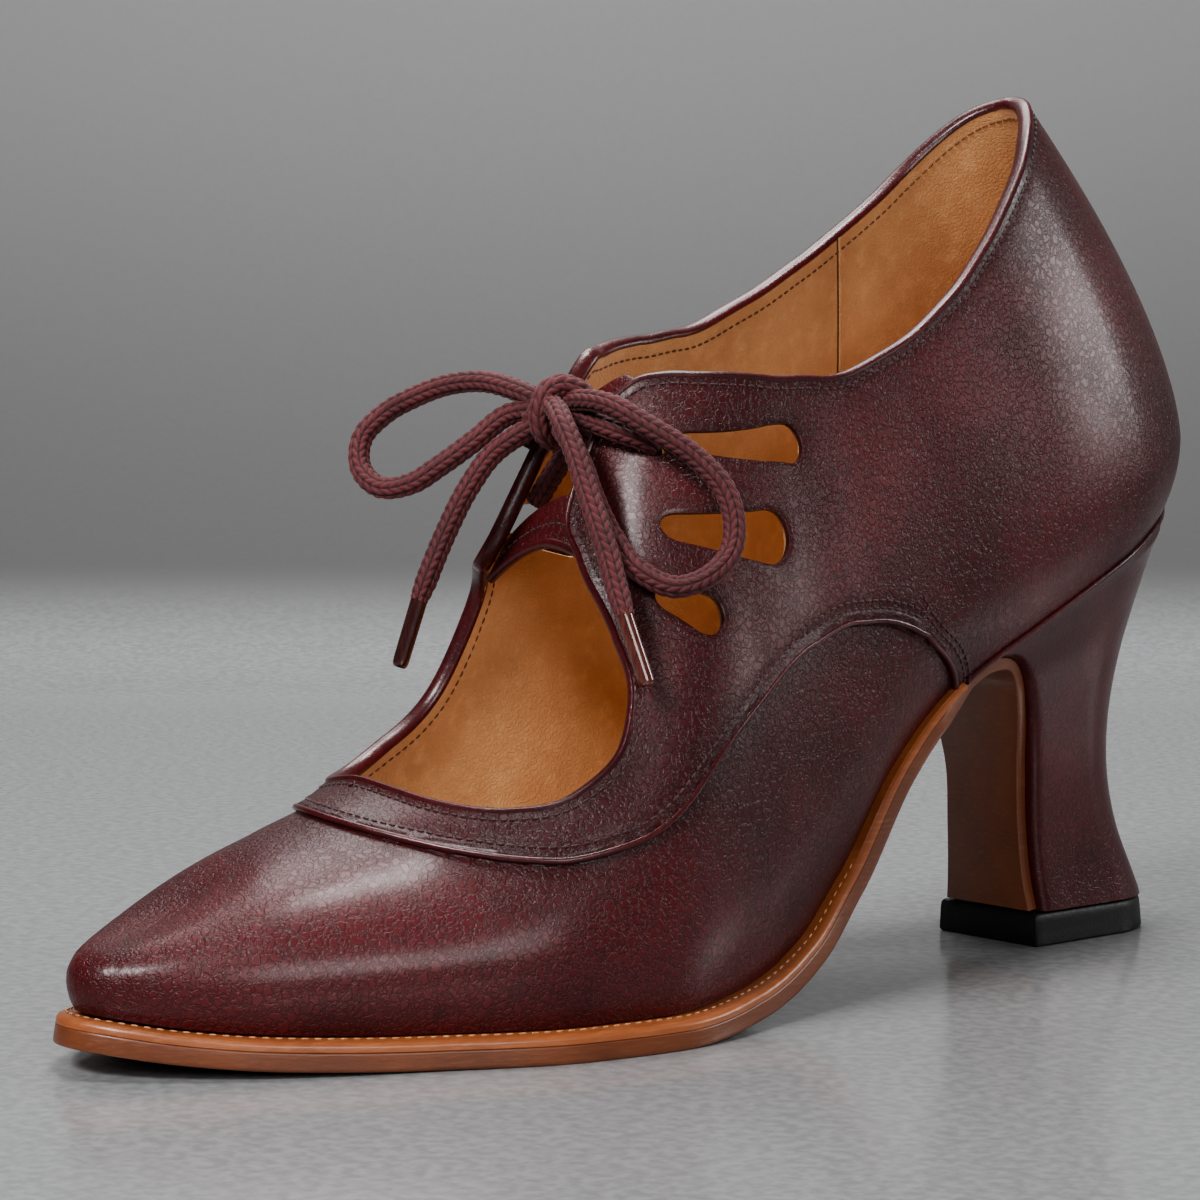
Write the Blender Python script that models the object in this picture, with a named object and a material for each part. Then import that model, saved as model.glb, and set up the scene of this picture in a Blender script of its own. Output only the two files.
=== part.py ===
"""Heeled lace-up shoe for the left foot, modelled as the pieces that a maker puts together.

The upper is a leather wall wrapped round a last. Ribs start at the feather edge, where upper and sole
meet, swell to the belly of the foot and close over the instep at the ridge. The lines of the pattern
(topline, throat, seam) are drawn on those ribs, and the sole, the heel and the bars follow the same last.

Tables are in millimetres: "along" runs from the back of the heel to the toe, "across" is positive on the
outer side, and "height" is above the floor. The meshes are in metres, with the toe toward -Y.
"""

import math

import bmesh
import bpy
import numpy as np
from mathutils import Vector
from mathutils.geometry import delaunay_2d_cdt

MM = 0.001
GAP = 0.3

# Driving sizes of the last.
LENGTH = 222.0
BELLY_UP = 0.18
MIDDLE_ACROSS = 0.32
MIDDLE_ALONG = 111.5

# Plan of the last at the belly, as half widths each side of a centre line that bends toward the big toe.
OUTLINE = np.array([
    # along, centre, outer, inner
    (0, 0, 0, 0),
    (6, 0, 14, 14),
    (15, 0, 20.5, 20.5),
    (30, 0, 25.5, 25),
    (50, 0, 27, 25.5),
    (75, 0, 27, 24),
    (100, 0, 29.5, 26),
    (120, 0, 33, 30),
    (143, -0.5, 37, 34),
    (158, -1.5, 36, 34.5),
    (180, -4, 29, 28.5),
    (200, -6.3, 21, 20.5),
    (212, -7.5, 13.5, 13.5),
    (219, -8, 7, 7),
    (LENGTH, -8, 0, 0),
])

# Feather edge: its height, how far it tucks in under the belly, and how far up the belly lies.
FEATHER = np.array([
    # along, height, tuck, belly rise
    (0, 79, 4, 12),
    (30, 67.5, 4, 14),
    (50, 58.5, 4.5, 17),
    (69, 48.5, 5, 20),
    (83, 36.5, 5, 22),
    (98, 20, 5, 22),
    (110, 11.5, 4, 19),
    (125, 6.5, 3, 15),
    (143, 4.8, 2.5, 12),
    (160, 4.8, 2.5, 10),
    (180, 5, 2.2, 8.5),
    (200, 5.8, 1.8, 6.5),
    (212, 7, 1.4, 5.2),
    (LENGTH, 8.8, 1.2, 4.2),
])

# Ridge of the instep, with the fullness of the section in height and in width (2 is an ellipse). Where ribs
# fan out over the toe they leave the ridge along its own slope, and lose that slope by the power below.
RIDGE = np.array([
    # along, height, fullness up, fullness across, shift to the inner side
    (69, 184.8, 1.5, 0.94, 0),
    (84, 168, 1.45, 1.15, 0),
    (100, 146, 1.6, 1.2, 0),
    (120, 117, 1.8, 1.45, 0),
    (129.5, 102, 1.85, 1.6, 0),
    (135, 91, 1.85, 1.68, 0),
    (142, 76.5, 1.85, 1.7, 1),
    (150, 63.2, 1.85, 1.6, 2.4),
    (160, 47.8, 1.85, 1.6, 4.4),
    (172, 36.9, 1.85, 1.76, 6.3),
    (181, 33.5, 1.9, 1.86, 5.4),
    (190, 30.1, 1.95, 2, 4.5),
    (198, 25.6, 2, 2, 2.2),
    (206, 20.0, 2, 2, 1),
])
TOE_FALL = 1

# Each rib leans: where it starts on the feather edge, and where it reaches the ridge.
LEAN = np.array([
    # foot of the rib, top of the rib
    (0, 71.3),
    (40, 81),
    (110, 110),
    (150, 150),
    (190, 182),
    (LENGTH, 198),
])

# Pattern lines on the ribs: the foot of the rib, and the share of the way up from feather edge to ridge.
TOPLINE = np.array([
    # along, outer up, inner up
    (0, 0.585, 0.585),
    (9, 0.581, 0.579),
    (18, 0.571, 0.569),
    (27, 0.557, 0.557),
    (38, 0.538, 0.545),
    (50, 0.515, 0.536),
    (63, 0.492, 0.530),
    (77, 0.485, 0.535),
    (89, 0.509, 0.560),
    (101, 0.559, 0.605),
    (112, 0.618, 0.660),
    (121, 0.698, 0.736),
    (126.5, 0.777, 0.806),
    (130, 0.842, 0.828),
])
THROAT = np.array([
    # outer along, outer up, inner along, inner up
    (133, 0.882, 133, 0.812),
    (136, 0.893, 136, 0.795),
    (139, 0.885, 139.4, 0.775),
    (141.7, 0.794, 140.4, 0.735),
    (142.8, 0.645, 138, 0.645),
    (144, 0.552, 135.8, 0.548),
    (147.7, 0.506, 139.8, 0.483),
    (155, 0.515, 151.5, 0.503),
    (162.4, 0.583, 161, 0.585),
    (169, 0.725, 168.6, 0.730),
    (171.8, 0.880, 171.6, 0.880),
    (172.6, 1, 172.6, 1),
])
SEAM = np.array([
    # outer along, up, inner along
    (185, 1, 185),
    (184, 0.913, 182.6),
    (181, 0.796, 178.2),
    (175.8, 0.671, 172.4),
    (170.5, 0.567, 167),
    (165.3, 0.485, 162),
    (159.1, 0.421, 156.6),
    (149.9, 0.371, 149),
    (132.4, 0.362, 132),
    (109, 0.355, 109),
    (98, 0.320, 98),
    (93, 0.293, 93),
    (88.5, 0.256, 88.5),
    (85.5, 0.223, 85.5),
    (81.5, 0.163, 81.5),
    (75, 0.085, 75),
    (68.2, 0, 68.2),
])

# Cut-outs in the sides of the upper, drawn on the side elevation as a round end and a small front end. The
# inner side has the first two.
TEARDROPS = np.array([
    # along, height, radius, front along, front height, front radius
    (107.6, 89.7, 3.15, 126.0, 90.9, 1.6),
    (115.6, 75.8, 4.3, 131.5, 77.8, 2.2),
    (130.9, 64.6, 3.1, 134.9, 66.9, 2.3),
])
INNER_TEARDROPS = 2
EYELET = (131.2, 90.2, 2.1)

# Leather of the upper: wall inside the last's surface, and how the quarters stand over the vamp.
WALL = 1.8
QUARTER_RAISE = 0.6
VAMP_RAISE = -0.4
STEP_RUN = 1.2
MESH_SPACING = 6.4

# Edge of the sole outside the feather edge, and the thickness of its two layers.
SOLE = np.array([
    # along, edge, welt, outsole
    (60, 0.9, 1.2, 2.0),
    (75, 1.1, 1.2, 2.2),
    (98, 1.8, 1.4, 2.5),
    (120, 2.6, 1.6, 2.6),
    (143, 3.4, 1.6, 2.6),
    (160, 3.2, 1.6, 2.6),
    (200, 2.8, 1.6, 2.6),
    (LENGTH, 2.0, 1.6, 2.6),
])
WELT_BEVEL = 0.8
SOLE_BEVEL = 0.5
WELT_BACK = 66.9
WAIST_BACK = 73.0
SEAT_FRONT = 66.4
INSOLE = 2.2
INSOLE_INSET = WALL + GAP + 0.2

# Breast of the heel: middle of the leather flap that the outsole sends down it, its half width, then the
# half width of the heel block behind it and the back of the block at the same course.
BREAST = np.array([
    # along, height, half width, heel half width, back along, back height
    (37.9, 6.4, 10.0, 11.7, 3.9, 6.4),
    (38.4, 10.0, 9.4, 11.2, 5.6, 10.0),
    (39.3, 20.0, 8.7, 10.6, 10.2, 19.5),
    (40.0, 32.0, 8.9, 10.9, 12.9, 30.5),
    (42.0, 41.5, 10.8, 12.4, 12.9, 41.5),
    (44.6, 47.2, 12.6, 14.0, 11.2, 51.0),
    (48.5, 50.0, 15.0, 16.2, 9.0, 60.0),
    (54.0, 51.2, 17.8, 18.6, 7.2, 67.5),
    (60.5, 50.7, 19.8, 20.2, 5.8, 73.0),
    (65.5, 49.0, 21.2, 21.4, 4.7, 76.5),
])
LIFT_HEIGHT = 5.8
LIFT_BACK = 3.4
LIFT_FRONT = 38.9
LIFT_HALF = 11.9
LIFT_FLARE = 0.6

# Bars across the throat, under the facings: first and last rib, how far down the sides they reach, and
# how much of the last's rise they follow from there.
LOWER_BAR = (137.0, 140.6, 0.7, 0.6)
UPPER_BAR = (126.9, 129.7, 0.73, 0.45)
BAR_THICK = 1.2

# Lace: routes as (across, along, height).
LACE = 3.3
AGLET = 2.2
KNOT = (0, 138.6, 95.2)
KNOT_HALF = (6.8, 4.4, 6.6)
KNOT_TILT = -24
CROSSING_LOW = (12.5, 136.2)
CROSSING_HIGH = (11.0, 132.4)
OUTER_RUN = ((15.2, 132.6, 90.4), (12.4, 134.6, 91.8), (6.9, 137.0, 93.7))
INNER_RUN = ((-14.6, 132.4, 90.4), (-12.0, 134.6, 91.8), (-6.9, 137.0, 93.7))
OUTER_LOOP = (
    (7.0, 138.4, 96.8), (13.4, 137.8, 96.2), (18.5, 135.0, 93.2), (23.9, 129.2, 88.0), (27.0, 126.6, 83.6),
    (28.8, 126.0, 78.6), (29.6, 127.4, 74.0), (29.2, 131.0, 70.6), (26.8, 136.4, 68.8), (23.0, 140.2, 71.2),
    (19.0, 142.0, 76.2), (15.6, 143.0, 82.2), (11.4, 141.8, 87.0), (6.2, 140.6, 91.3),
)
INNER_LOOP = (
    (-6.2, 139.9, 98.0), (-12.4, 142.4, 99.5), (-17.8, 145.6, 98.9), (-22.4, 148.4, 97.0),
    (-26.5, 151.3, 94.3), (-28.6, 154.2, 90.5), (-27.1, 155.7, 85.6), (-22.7, 155.0, 82.7),
    (-18.1, 152.5, 83.4), (-14.4, 149.3, 86.4), (-11.0, 145.3, 90.2), (-7.5, 141.3, 94.3),
)
OUTER_END = (
    (5.8, 142.5, 95.6), (10.4, 144.6, 93.0), (13.3, 145.1, 89.7), (16.4, 145.5, 84.6), (19.4, 145.7, 79.3),
    (22.1, 145.6, 73.8), (24.4, 145.8, 68.6), (25.7, 146.0, 66.3),
)
OUTER_AGLET = ((25.9, 146.0, 65.8), (30.5, 144.9, 54.5))
INNER_END = (
    (-4.6, 142.1, 90.9), (-7.8, 143.8, 88.4), (-10.2, 147.0, 83.0), (-12.2, 150.2, 75.6),
    (-14.0, 153.4, 66.8),
)
INNER_AGLET = ((-14.1, 153.6, 66.2), (-16.2, 156.4, 54.6))


def smooth(xs, ys):
    """Monotone cubic through a table's rows: no bump that the rows don't have."""
    xs = np.asarray(xs, float)
    ys = np.asarray(ys, float)
    step = np.diff(xs)
    rise = np.diff(ys) / step
    before, after = rise[:-1], rise[1:]
    same = before * after > 0
    weight_before = 2 * step[1:] + step[:-1]
    weight_after = step[1:] + 2 * step[:-1]
    mean = (weight_before + weight_after) / (
        weight_before / np.where(same, before, 1) + weight_after / np.where(same, after, 1))
    slope = np.concatenate((rise[:1], np.where(same, mean, 0), rise[-1:]))

    def value(x):
        x = np.clip(x, xs[0], xs[-1])
        i = np.clip(np.searchsorted(xs, x) - 1, 0, len(step) - 1)
        u = (x - xs[i]) / step[i]
        low = ys[i] * (1 + 2 * u) + step[i] * slope[i] * u
        high = ys[i + 1] * (3 - 2 * u) - step[i] * slope[i + 1] * (1 - u)
        return low * (1 - u) ** 2 + high * u ** 2

    return value


def through(points, spacing):
    """Smooth curve through points of any dimension, sampled about evenly."""
    points = np.asarray(points, float)
    chord = np.concatenate(([0], np.cumsum(np.linalg.norm(np.diff(points, axis=0), axis=1))))
    slope = np.gradient(points, chord, axis=0)
    x = np.linspace(0, chord[-1], max(3, round(chord[-1] / spacing) + 1))
    i = np.clip(np.searchsorted(chord, x) - 1, 0, len(points) - 2)
    step = (chord[i + 1] - chord[i])[:, None]
    u = (x - chord[i])[:, None] / step
    low = points[i] * (1 + 2 * u) + step * slope[i] * u
    high = points[i + 1] * (3 - 2 * u) - step * slope[i + 1] * (1 - u)
    return low * (1 - u) ** 2 + high * u ** 2


# The last, as functions of the tables above.
centre_at = smooth(OUTLINE[:, 0], OUTLINE[:, 1])
half_squared = {
    1: smooth(OUTLINE[:, 0], OUTLINE[:, 2] ** 2),
    -1: smooth(OUTLINE[:, 0], OUTLINE[:, 3] ** 2),
}
feather_height = smooth(FEATHER[:, 0], FEATHER[:, 1])
tuck_at = smooth(FEATHER[:, 0], FEATHER[:, 2])
belly_rise = smooth(FEATHER[:, 0], FEATHER[:, 3])
ridge_height = smooth(RIDGE[:, 0], RIDGE[:, 1])
full_up = smooth(RIDGE[:, 0], RIDGE[:, 2])
full_across = smooth(RIDGE[:, 0], RIDGE[:, 3])
ridge_shift = smooth(RIDGE[:, 0], RIDGE[:, 4])
rib_top = smooth(LEAN[:, 0], LEAN[:, 1])
sole_edge = smooth(SOLE[:, 0], SOLE[:, 1])
welt_thick = smooth(SOLE[:, 0], SOLE[:, 2])
outsole_thick = smooth(SOLE[:, 0], SOLE[:, 3])


def ridge_slope(top):
    return ridge_height(top + 0.5) - ridge_height(top - 0.5)


def rib(along, up, side):
    """Point of the last on the rib that starts at "along", a share "up" of the way to the ridge."""
    along = np.asarray(along, float)
    up = np.asarray(up, float)
    top = rib_top(along)
    across_foot = centre_at(along) + side * np.sqrt(np.maximum(half_squared[side](along), 0))
    across_top = centre_at(top) - ridge_shift(top)
    low = np.clip(up / BELLY_UP, 0, 1)
    turn = np.clip((up - BELLY_UP) / (1 - BELLY_UP), 0, 1) * math.pi / 2
    spread = np.maximum(np.cos(turn), 0) ** (2 / full_across(top))
    belly = feather_height(along) + belly_rise(along)
    rise = np.sin(turn) ** (2 / full_up(top))
    height = feather_height(along) + belly_rise(along) * low + (ridge_height(top) - belly) * rise
    height = height + ridge_slope(top) * np.maximum(along - top, 0) * spread * (1 - spread) ** TOE_FALL
    reach = np.hypot(across_foot - across_top, along - top)
    spread = spread - tuck_at(along) * (1 - low) ** 2 / reach
    across = across_top + (across_foot - across_top) * spread
    forward = top + (along - top) * spread
    return np.stack(np.broadcast_arrays(across, forward, height), -1)


def up_at(along, height):
    """Share of the way up the rib at a height, above the belly."""
    top = rib_top(along)
    belly = feather_height(along) + belly_rise(along)
    share = np.clip((height - belly) / (ridge_height(top) - belly), 0, 1)
    return BELLY_UP + (1 - BELLY_UP) * np.arcsin(share ** (full_up(top) / 2)) / (math.pi / 2)


def last_normal(along, up, side):
    """Outward normal of the last."""
    small = 0.02
    forward = rib(along + small, up, side) - rib(along - small, up, side)
    upward = rib(along, up + small / 100, side) - rib(along, up - small / 100, side)
    normal = np.cross(forward, upward) * side
    return normal / np.linalg.norm(normal, axis=-1, keepdims=True)


def world(points):
    """From (across, along, height) in millimetres to metres, toe toward -Y."""
    points = np.asarray(points, float)
    shifted = (points - (MIDDLE_ACROSS, MIDDLE_ALONG, 0)) * MM
    return shifted * (1, -1, 1)


def leather(name, colour, roughness):
    material = bpy.data.materials.new(name)
    material.use_nodes = True
    shader = material.node_tree.nodes["Principled BSDF"]
    shader.inputs["Base Color"].default_value = (*colour, 1)
    shader.inputs["Roughness"].default_value = roughness
    return material


def solid(name, points, faces, material):
    """Closed mesh object from points in millimetres, with its faces turned outward."""
    mesh = bpy.data.meshes.new(name)
    mesh.from_pydata(world(points).tolist(), [], faces)
    work = bmesh.new()
    work.from_mesh(mesh)
    bmesh.ops.triangulate(work, faces=work.faces)
    bmesh.ops.recalc_face_normals(work, faces=work.faces)
    work.to_mesh(mesh)
    work.free()
    mesh.materials.append(material)
    mesh.shade_smooth()
    mesh.set_sharp_from_angle(angle=math.radians(35))
    obj = bpy.data.objects.new(name, mesh)
    shoe.objects.link(obj)
    return obj


def stack(name, rows, closed, material):
    """Solid from outlines laid one on another. Each outline runs up one side and back down the other,
    so that its two sides pair off into the rungs of the first and last faces. A closed outline has a
    single point at each end, an open one has a straight edge at its first end."""
    count = len(rows[0])
    last = count if closed else count - 1
    faces = []
    for row in range(len(rows) - 1):
        base = row * count
        for i in range(count):
            j = (i + 1) % count
            faces.append((base + i, base + j, base + count + j, base + count + i))
    for base in (0, (len(rows) - 1) * count):
        for i in range(last // 2):
            rung = [i, i + 1, last - i - 1, (last - i) % count]
            faces.append([base + k for k in dict.fromkeys(rung)])
    return solid(name, np.concatenate(rows), faces, material)


def tube(name, route, thickness, material):
    """Round cord along a smooth curve through the points of its route."""
    curve = bpy.data.curves.new(name, "CURVE")
    curve.dimensions = "3D"
    curve.bevel_depth = thickness / 2 * MM
    curve.bevel_resolution = 2
    curve.use_fill_caps = True
    curve.materials.append(material)
    points = world(through(route, 2.4 * thickness))
    spline = curve.splines.new("POLY")
    spline.points.add(len(points) - 1)
    for knot, point in zip(spline.points, points):
        knot.co = (*point, 1)
    obj = bpy.data.objects.new(name, curve)
    shoe.objects.link(obj)
    return obj


# Flat chart of one side of the last, where the wall is laid out: rib by rib, nearly to scale.
CHART_LENGTH = LENGTH * math.pi / 2
CHART_HEIGHT = 100.0


def chart(along, up):
    turn = np.arccos(1 - 2 * np.clip(np.asarray(along, float) / LENGTH, 0, 1)) / math.pi
    return np.stack((turn * CHART_LENGTH, np.asarray(up, float) * CHART_HEIGHT), -1)


def chart_along(points):
    return LENGTH * (1 - np.cos(math.pi * points[:, 0] / CHART_LENGTH)) / 2


def chart_place(points, side):
    """Points of the chart laid on the last."""
    return rib(chart_along(points), points[:, 1] / CHART_HEIGHT, side)


def thinned(line, side, least):
    """Line on the chart without the points that come too close together on the last."""
    places = chart_place(line, side)
    kept = [0]
    for i in range(1, len(line) - 1):
        reach = np.linalg.norm(places[[kept[-1], -1]] - places[i], axis=1).min()
        if reach > least:
            kept.append(i)
    return line[kept + [len(line) - 1]]


def inside(points, polygon):
    """Which points of the chart lie in a polygon (even-odd rule)."""
    found = np.zeros(len(points), bool)
    for (ax, ay), (bx, by) in zip(polygon, np.roll(polygon, -1, axis=0)):
        crosses = (ay > points[:, 1]) != (by > points[:, 1])
        where = ax + (points[:, 1] - ay) * (bx - ax) / np.where(by == ay, 1, by - ay)
        found ^= crosses & (points[:, 0] < where)
    return found


def straight(start, end, spacing):
    count = max(2, round(np.linalg.norm(np.subtract(end, start)) / spacing) + 1)
    return np.linspace(start, end, count)


def teardrop(row, points_round_end=9, points_front=4):
    """Outline of a cut-out: two arcs of different radius with tangent sides, on the side elevation."""
    along, height, radius, front_along, front_height, front_radius = row
    lean = math.atan2(front_height - height, front_along - along)
    reach = math.hypot(front_along - along, front_height - height)
    tangent = math.acos((radius - front_radius) / reach)
    rear = np.linspace(lean + tangent, lean + 2 * math.pi - tangent, points_round_end)
    front = np.linspace(lean - tangent, lean + tangent, points_front)
    xs = np.concatenate((along + radius * np.cos(rear), front_along + front_radius * np.cos(front)))
    zs = np.concatenate((height + radius * np.sin(rear), front_height + front_radius * np.sin(front)))
    return chart(xs, up_at(xs, zs))


def eyelet():
    along, height, radius = EYELET
    turn = np.linspace(0, 2 * math.pi, 8, endpoint=False)
    xs = along + radius * np.cos(turn)
    zs = height + radius * np.sin(turn)
    return chart(xs, up_at(xs, zs))


def edge_line(side):
    """Topline and throat in one line on the chart, from the back of the collar to the ridge."""
    ups = TOPLINE[:, 1] if side > 0 else TOPLINE[:, 2]
    throat = THROAT[:, :2] if side > 0 else THROAT[:, 2:]
    rows = np.concatenate((chart(TOPLINE[:, 0], ups), chart(throat[:, 0], throat[:, 1])))
    line = through(rows, 4.5)
    line[:, 1] = np.minimum(line[:, 1], CHART_HEIGHT)
    return line


def seam_lines(side):
    """Edge of the quarters, and the line on the vamp where the step down from it ends."""
    along = SEAM[:, 0] if side > 0 else SEAM[:, 2]
    line = through(chart(along, SEAM[:, 1]), 5.0)
    run = np.gradient(line, axis=0)
    run /= np.linalg.norm(run, axis=1, keepdims=True)
    foot = line + np.stack((-run[:, 1], run[:, 0]), -1) * STEP_RUN
    for row in (0, -1):
        foot[row] = line[row] + (STEP_RUN, 0)
    return line, foot


def side_chart(side):
    """Triangles of one side of the upper on the chart, and which points stand on the vamp."""
    edge = edge_line(side)
    seam, step = seam_lines(side)
    toe = CHART_LENGTH
    spacing = MESH_SPACING
    corners = [(0, 0), edge[0], edge[-1], (toe, CHART_HEIGHT), (toe, 0)]
    heel_back = straight(corners[0], corners[1], spacing)
    crest = thinned(straight(edge[-1], corners[3], spacing * 0.8), side, spacing * 0.6)
    toe_front = thinned(straight(corners[3], corners[4], spacing * 1.4), side, spacing * 0.6)
    bottom = straight(corners[4], corners[0], spacing * 0.85)
    border = np.concatenate((heel_back[:-1], edge[:-1], crest[:-1], toe_front[:-1], bottom[:-1]))
    drops = TEARDROPS if side > 0 else TEARDROPS[:INNER_TEARDROPS]
    holes = [teardrop(row) for row in drops] + [eyelet()]
    closed = [border] + holes
    above = CHART_HEIGHT + 1
    beyond = [(seam[-1, 0], -1), (toe + 1, -1), (toe + 1, above), (seam[0, 0], above)]
    vamp = np.concatenate((seam, beyond))

    points, edges = [], []
    for loop in closed:
        start = len(points)
        points.extend(loop)
        edges.extend((start + i, start + (i + 1) % len(loop)) for i in range(len(loop)))
    for line in (seam, step):
        start = len(points)
        points.extend(line)
        edges.extend((start + i, start + i + 1) for i in range(len(line) - 1))

    placed = chart_place(np.array(points), side)
    columns = np.arange(spacing / 2, toe, spacing)
    levels = np.arange(spacing / 2, CHART_HEIGHT, spacing * 0.9)
    for row, level in enumerate(levels):
        shift = spacing / 2 * (row % 2)
        filler = np.stack((columns + shift, np.full(len(columns), level)), -1)
        filler = filler[inside(filler, border)]
        for hole in holes:
            filler = filler[~inside(filler, hole)]
        for point, place in zip(filler, chart_place(filler, side)):
            if np.linalg.norm(placed - place, axis=1).min() > spacing * 0.5:
                points.append(point)
                placed = np.vstack((placed, place))

    verts, _, faces, _, _, _ = delaunay_2d_cdt([Vector(p) for p in points], edges, [], 0, 1e-4)
    verts = np.array(verts)
    faces = np.array(faces)
    middles = verts[faces].mean(axis=1)
    keep = inside(middles, border)
    for hole in holes:
        keep &= ~inside(middles, hole)
    on_seam = np.linalg.norm(verts[:, None] - seam[None], axis=2).min(axis=1) < 1e-3
    on_vamp = inside(verts, vamp) & ~on_seam
    return verts, faces[keep], on_vamp


def make_upper():
    """Both sides joined at heel, toe and ridge, then given an outer and an inner face."""
    work = bmesh.new()
    raise_layer = work.verts.layers.float.new("raise")
    foot_layer = work.verts.layers.int.new("foot")
    for side in (1, -1):
        verts, faces, on_vamp = side_chart(side)
        used = np.unique(faces)
        places = chart_place(verts, side)
        made = {}
        for i in used:
            vert = work.verts.new(places[i])
            vert[raise_layer] = VAMP_RAISE if on_vamp[i] else QUARTER_RAISE
            vert[foot_layer] = int(verts[i, 1] < 1e-3)
            made[i] = vert
        for face in faces:
            corners = [made[i] for i in face]
            work.faces.new(corners if side > 0 else corners[::-1])
    bmesh.ops.remove_doubles(work, verts=work.verts, dist=0.02)
    work.verts.index_update()
    work.normal_update()

    outer, inner = [], []
    for vert in work.verts:
        normal = vert.normal.copy()
        if vert[foot_layer]:
            normal.z = 0
            normal.normalize()
        outer.append(vert.co + normal * vert[raise_layer])
        inner.append(vert.co - normal * WALL)
    count = len(outer)
    faces = []
    for face in work.faces:
        ring = [vert.index for vert in face.verts]
        faces.append(ring)
        faces.append([i + count for i in reversed(ring)])
    for edge in work.edges:
        if edge.is_boundary:
            a, b = (vert.index for vert in edge.verts)
            faces.append((a, b, b + count, a + count))
    work.free()
    return solid("upper", outer + inner, faces, burgundy)


def feather_row(along, offset, depth):
    """Row of points beside the feather edge: offset outward in plan, and sunk below the last's floor.
    It runs up the outer side from the first rib to the toe, and back down the inner side."""
    along = np.asarray(along, float)
    turn = np.arccos(1 - 2 * along / LENGTH) / math.pi
    small = 1e-4
    before = LENGTH * (1 - np.cos(math.pi * np.clip(turn - small, 0, 1))) / 2
    after = LENGTH * (1 - np.cos(math.pi * np.clip(turn + small, 0, 1))) / 2
    sides = {}
    for side in (1, -1):
        here = rib(along, 0, side)
        run = (rib(after, 0, side) - rib(before, 0, side))[:, :2]
        run /= np.linalg.norm(run, axis=1, keepdims=True)
        outward = np.stack((run[:, 1], -run[:, 0]), -1) * side
        here[:, :2] += outward * np.broadcast_to(offset, along.shape)[:, None]
        sides[side] = here
    down = floor_normal(along)
    for here in sides.values():
        here[:, 1:] += down * np.broadcast_to(depth, along.shape)[:, None]
    return sides[1], sides[-1]


def floor_normal(along):
    """Direction at a right angle to the last's floor, downward, as (along, height)."""
    small = 0.5
    ahead = np.clip(along + small, 0, LENGTH)
    behind = np.clip(along - small, 0, LENGTH)
    run = sum(rib(ahead, 0, side) - rib(behind, 0, side) for side in (1, -1))[:, 1:]
    run /= np.linalg.norm(run, axis=1, keepdims=True)
    return np.stack((run[:, 1], -run[:, 0]), -1)


def ribs_between(first, last, count):
    """Feet of ribs, closer together toward the rounded ends of the last."""
    turn = np.arccos(1 - 2 * np.array((first, last)) / LENGTH)
    return LENGTH * (1 - np.cos(np.linspace(turn[0], turn[1], count))) / 2


def around(outer, inner):
    """One outline from two sides that share their last point."""
    return np.concatenate((outer, inner[-2::-1]))


def make_insole():
    along = ribs_between(0, LENGTH, 46)
    rows = []
    for depth in (-GAP, -GAP - INSOLE):
        outer, inner = feather_row(along, -INSOLE_INSET, depth)
        rows.append(np.concatenate((outer, inner[-2:0:-1])))
    return stack("insole", rows, True, tan)


def make_welt():
    along = ribs_between(WELT_BACK, LENGTH, 36)
    edge = sole_edge(along)
    thick = welt_thick(along)
    rows = [
        around(*feather_row(along, edge, GAP + thick)),
        around(*feather_row(along, edge, GAP + WELT_BEVEL * 0.8)),
        around(*feather_row(along, edge - WELT_BEVEL, GAP)),
    ]
    return stack("welt", rows, False, welt_tan)


def flap_course(offset):
    """Rows of the breast flap as two sides, from the top lift up to the waist, offset from its middle."""
    course = through(BREAST[:, :3], 4.0)
    run = np.gradient(course[:, :2], axis=0)
    run /= np.linalg.norm(run, axis=1, keepdims=True)
    under = np.stack((run[:, 1], -run[:, 0]), -1)
    return course, course[:, :2] + under * offset


def make_outsole():
    along = ribs_between(WAIST_BACK, LENGTH, 36)
    thick = outsole_thick(along)
    top = 2 * GAP + welt_thick(along)
    flap_thick = outsole_thick(WAIST_BACK)
    rows = []
    for share, inset in ((0, 0), (0.75, 0), (1, SOLE_BEVEL)):
        outer, inner = feather_row(along, sole_edge(along) - inset, top + thick * share)
        course, path = flap_course(flap_thick * (share - 0.5))
        half = course[:, 2] - inset
        flap_outer = np.column_stack((half, path))
        flap_inner = np.column_stack((-half, path))
        rows.append(around(np.concatenate((flap_outer, outer)), np.concatenate((flap_inner, inner))))
    return stack("outsole", rows, False, sole_brown)


def heel_section(front, back, half):
    """Course of the heel: straight at the breast, round at the back."""
    reach = math.hypot(front[0] - back[0], front[1] - back[1])
    share = np.sin(np.linspace(0, math.pi / 2, 13))[::-1]
    from_back = 1 - np.sqrt(np.maximum(1 - share ** 2, 0))
    round_part = min(half / reach * 1.15, 1)
    place = np.concatenate(([1], from_back * round_part))
    width = np.concatenate(([1], share))
    line = np.array(back) + (np.array(front) - np.array(back)) * place[:, None]
    outer = np.column_stack((half * width, line))
    inner = np.column_stack((-half * width, line))
    return around(outer, inner)


def make_heel():
    flap_half = outsole_thick(WAIST_BACK) / 2
    run = np.gradient(BREAST[:, :2], axis=0)
    run /= np.linalg.norm(run, axis=1, keepdims=True)
    behind = BREAST[:, :2] - np.stack((run[:, 1], -run[:, 0]), -1) * (flap_half + 2 * GAP)
    rows = []
    for front, row in zip(behind, BREAST):
        rows.append(heel_section(front, row[4:6], row[3]))
    rows[0][:, 2] = LIFT_HEIGHT + GAP
    seat = ribs_between(0, SEAT_FRONT, 14)[::-1]
    rows.append(around(*feather_row(seat, 0.2, GAP)))
    return stack("heel", rows, False, heel_leather)


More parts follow.
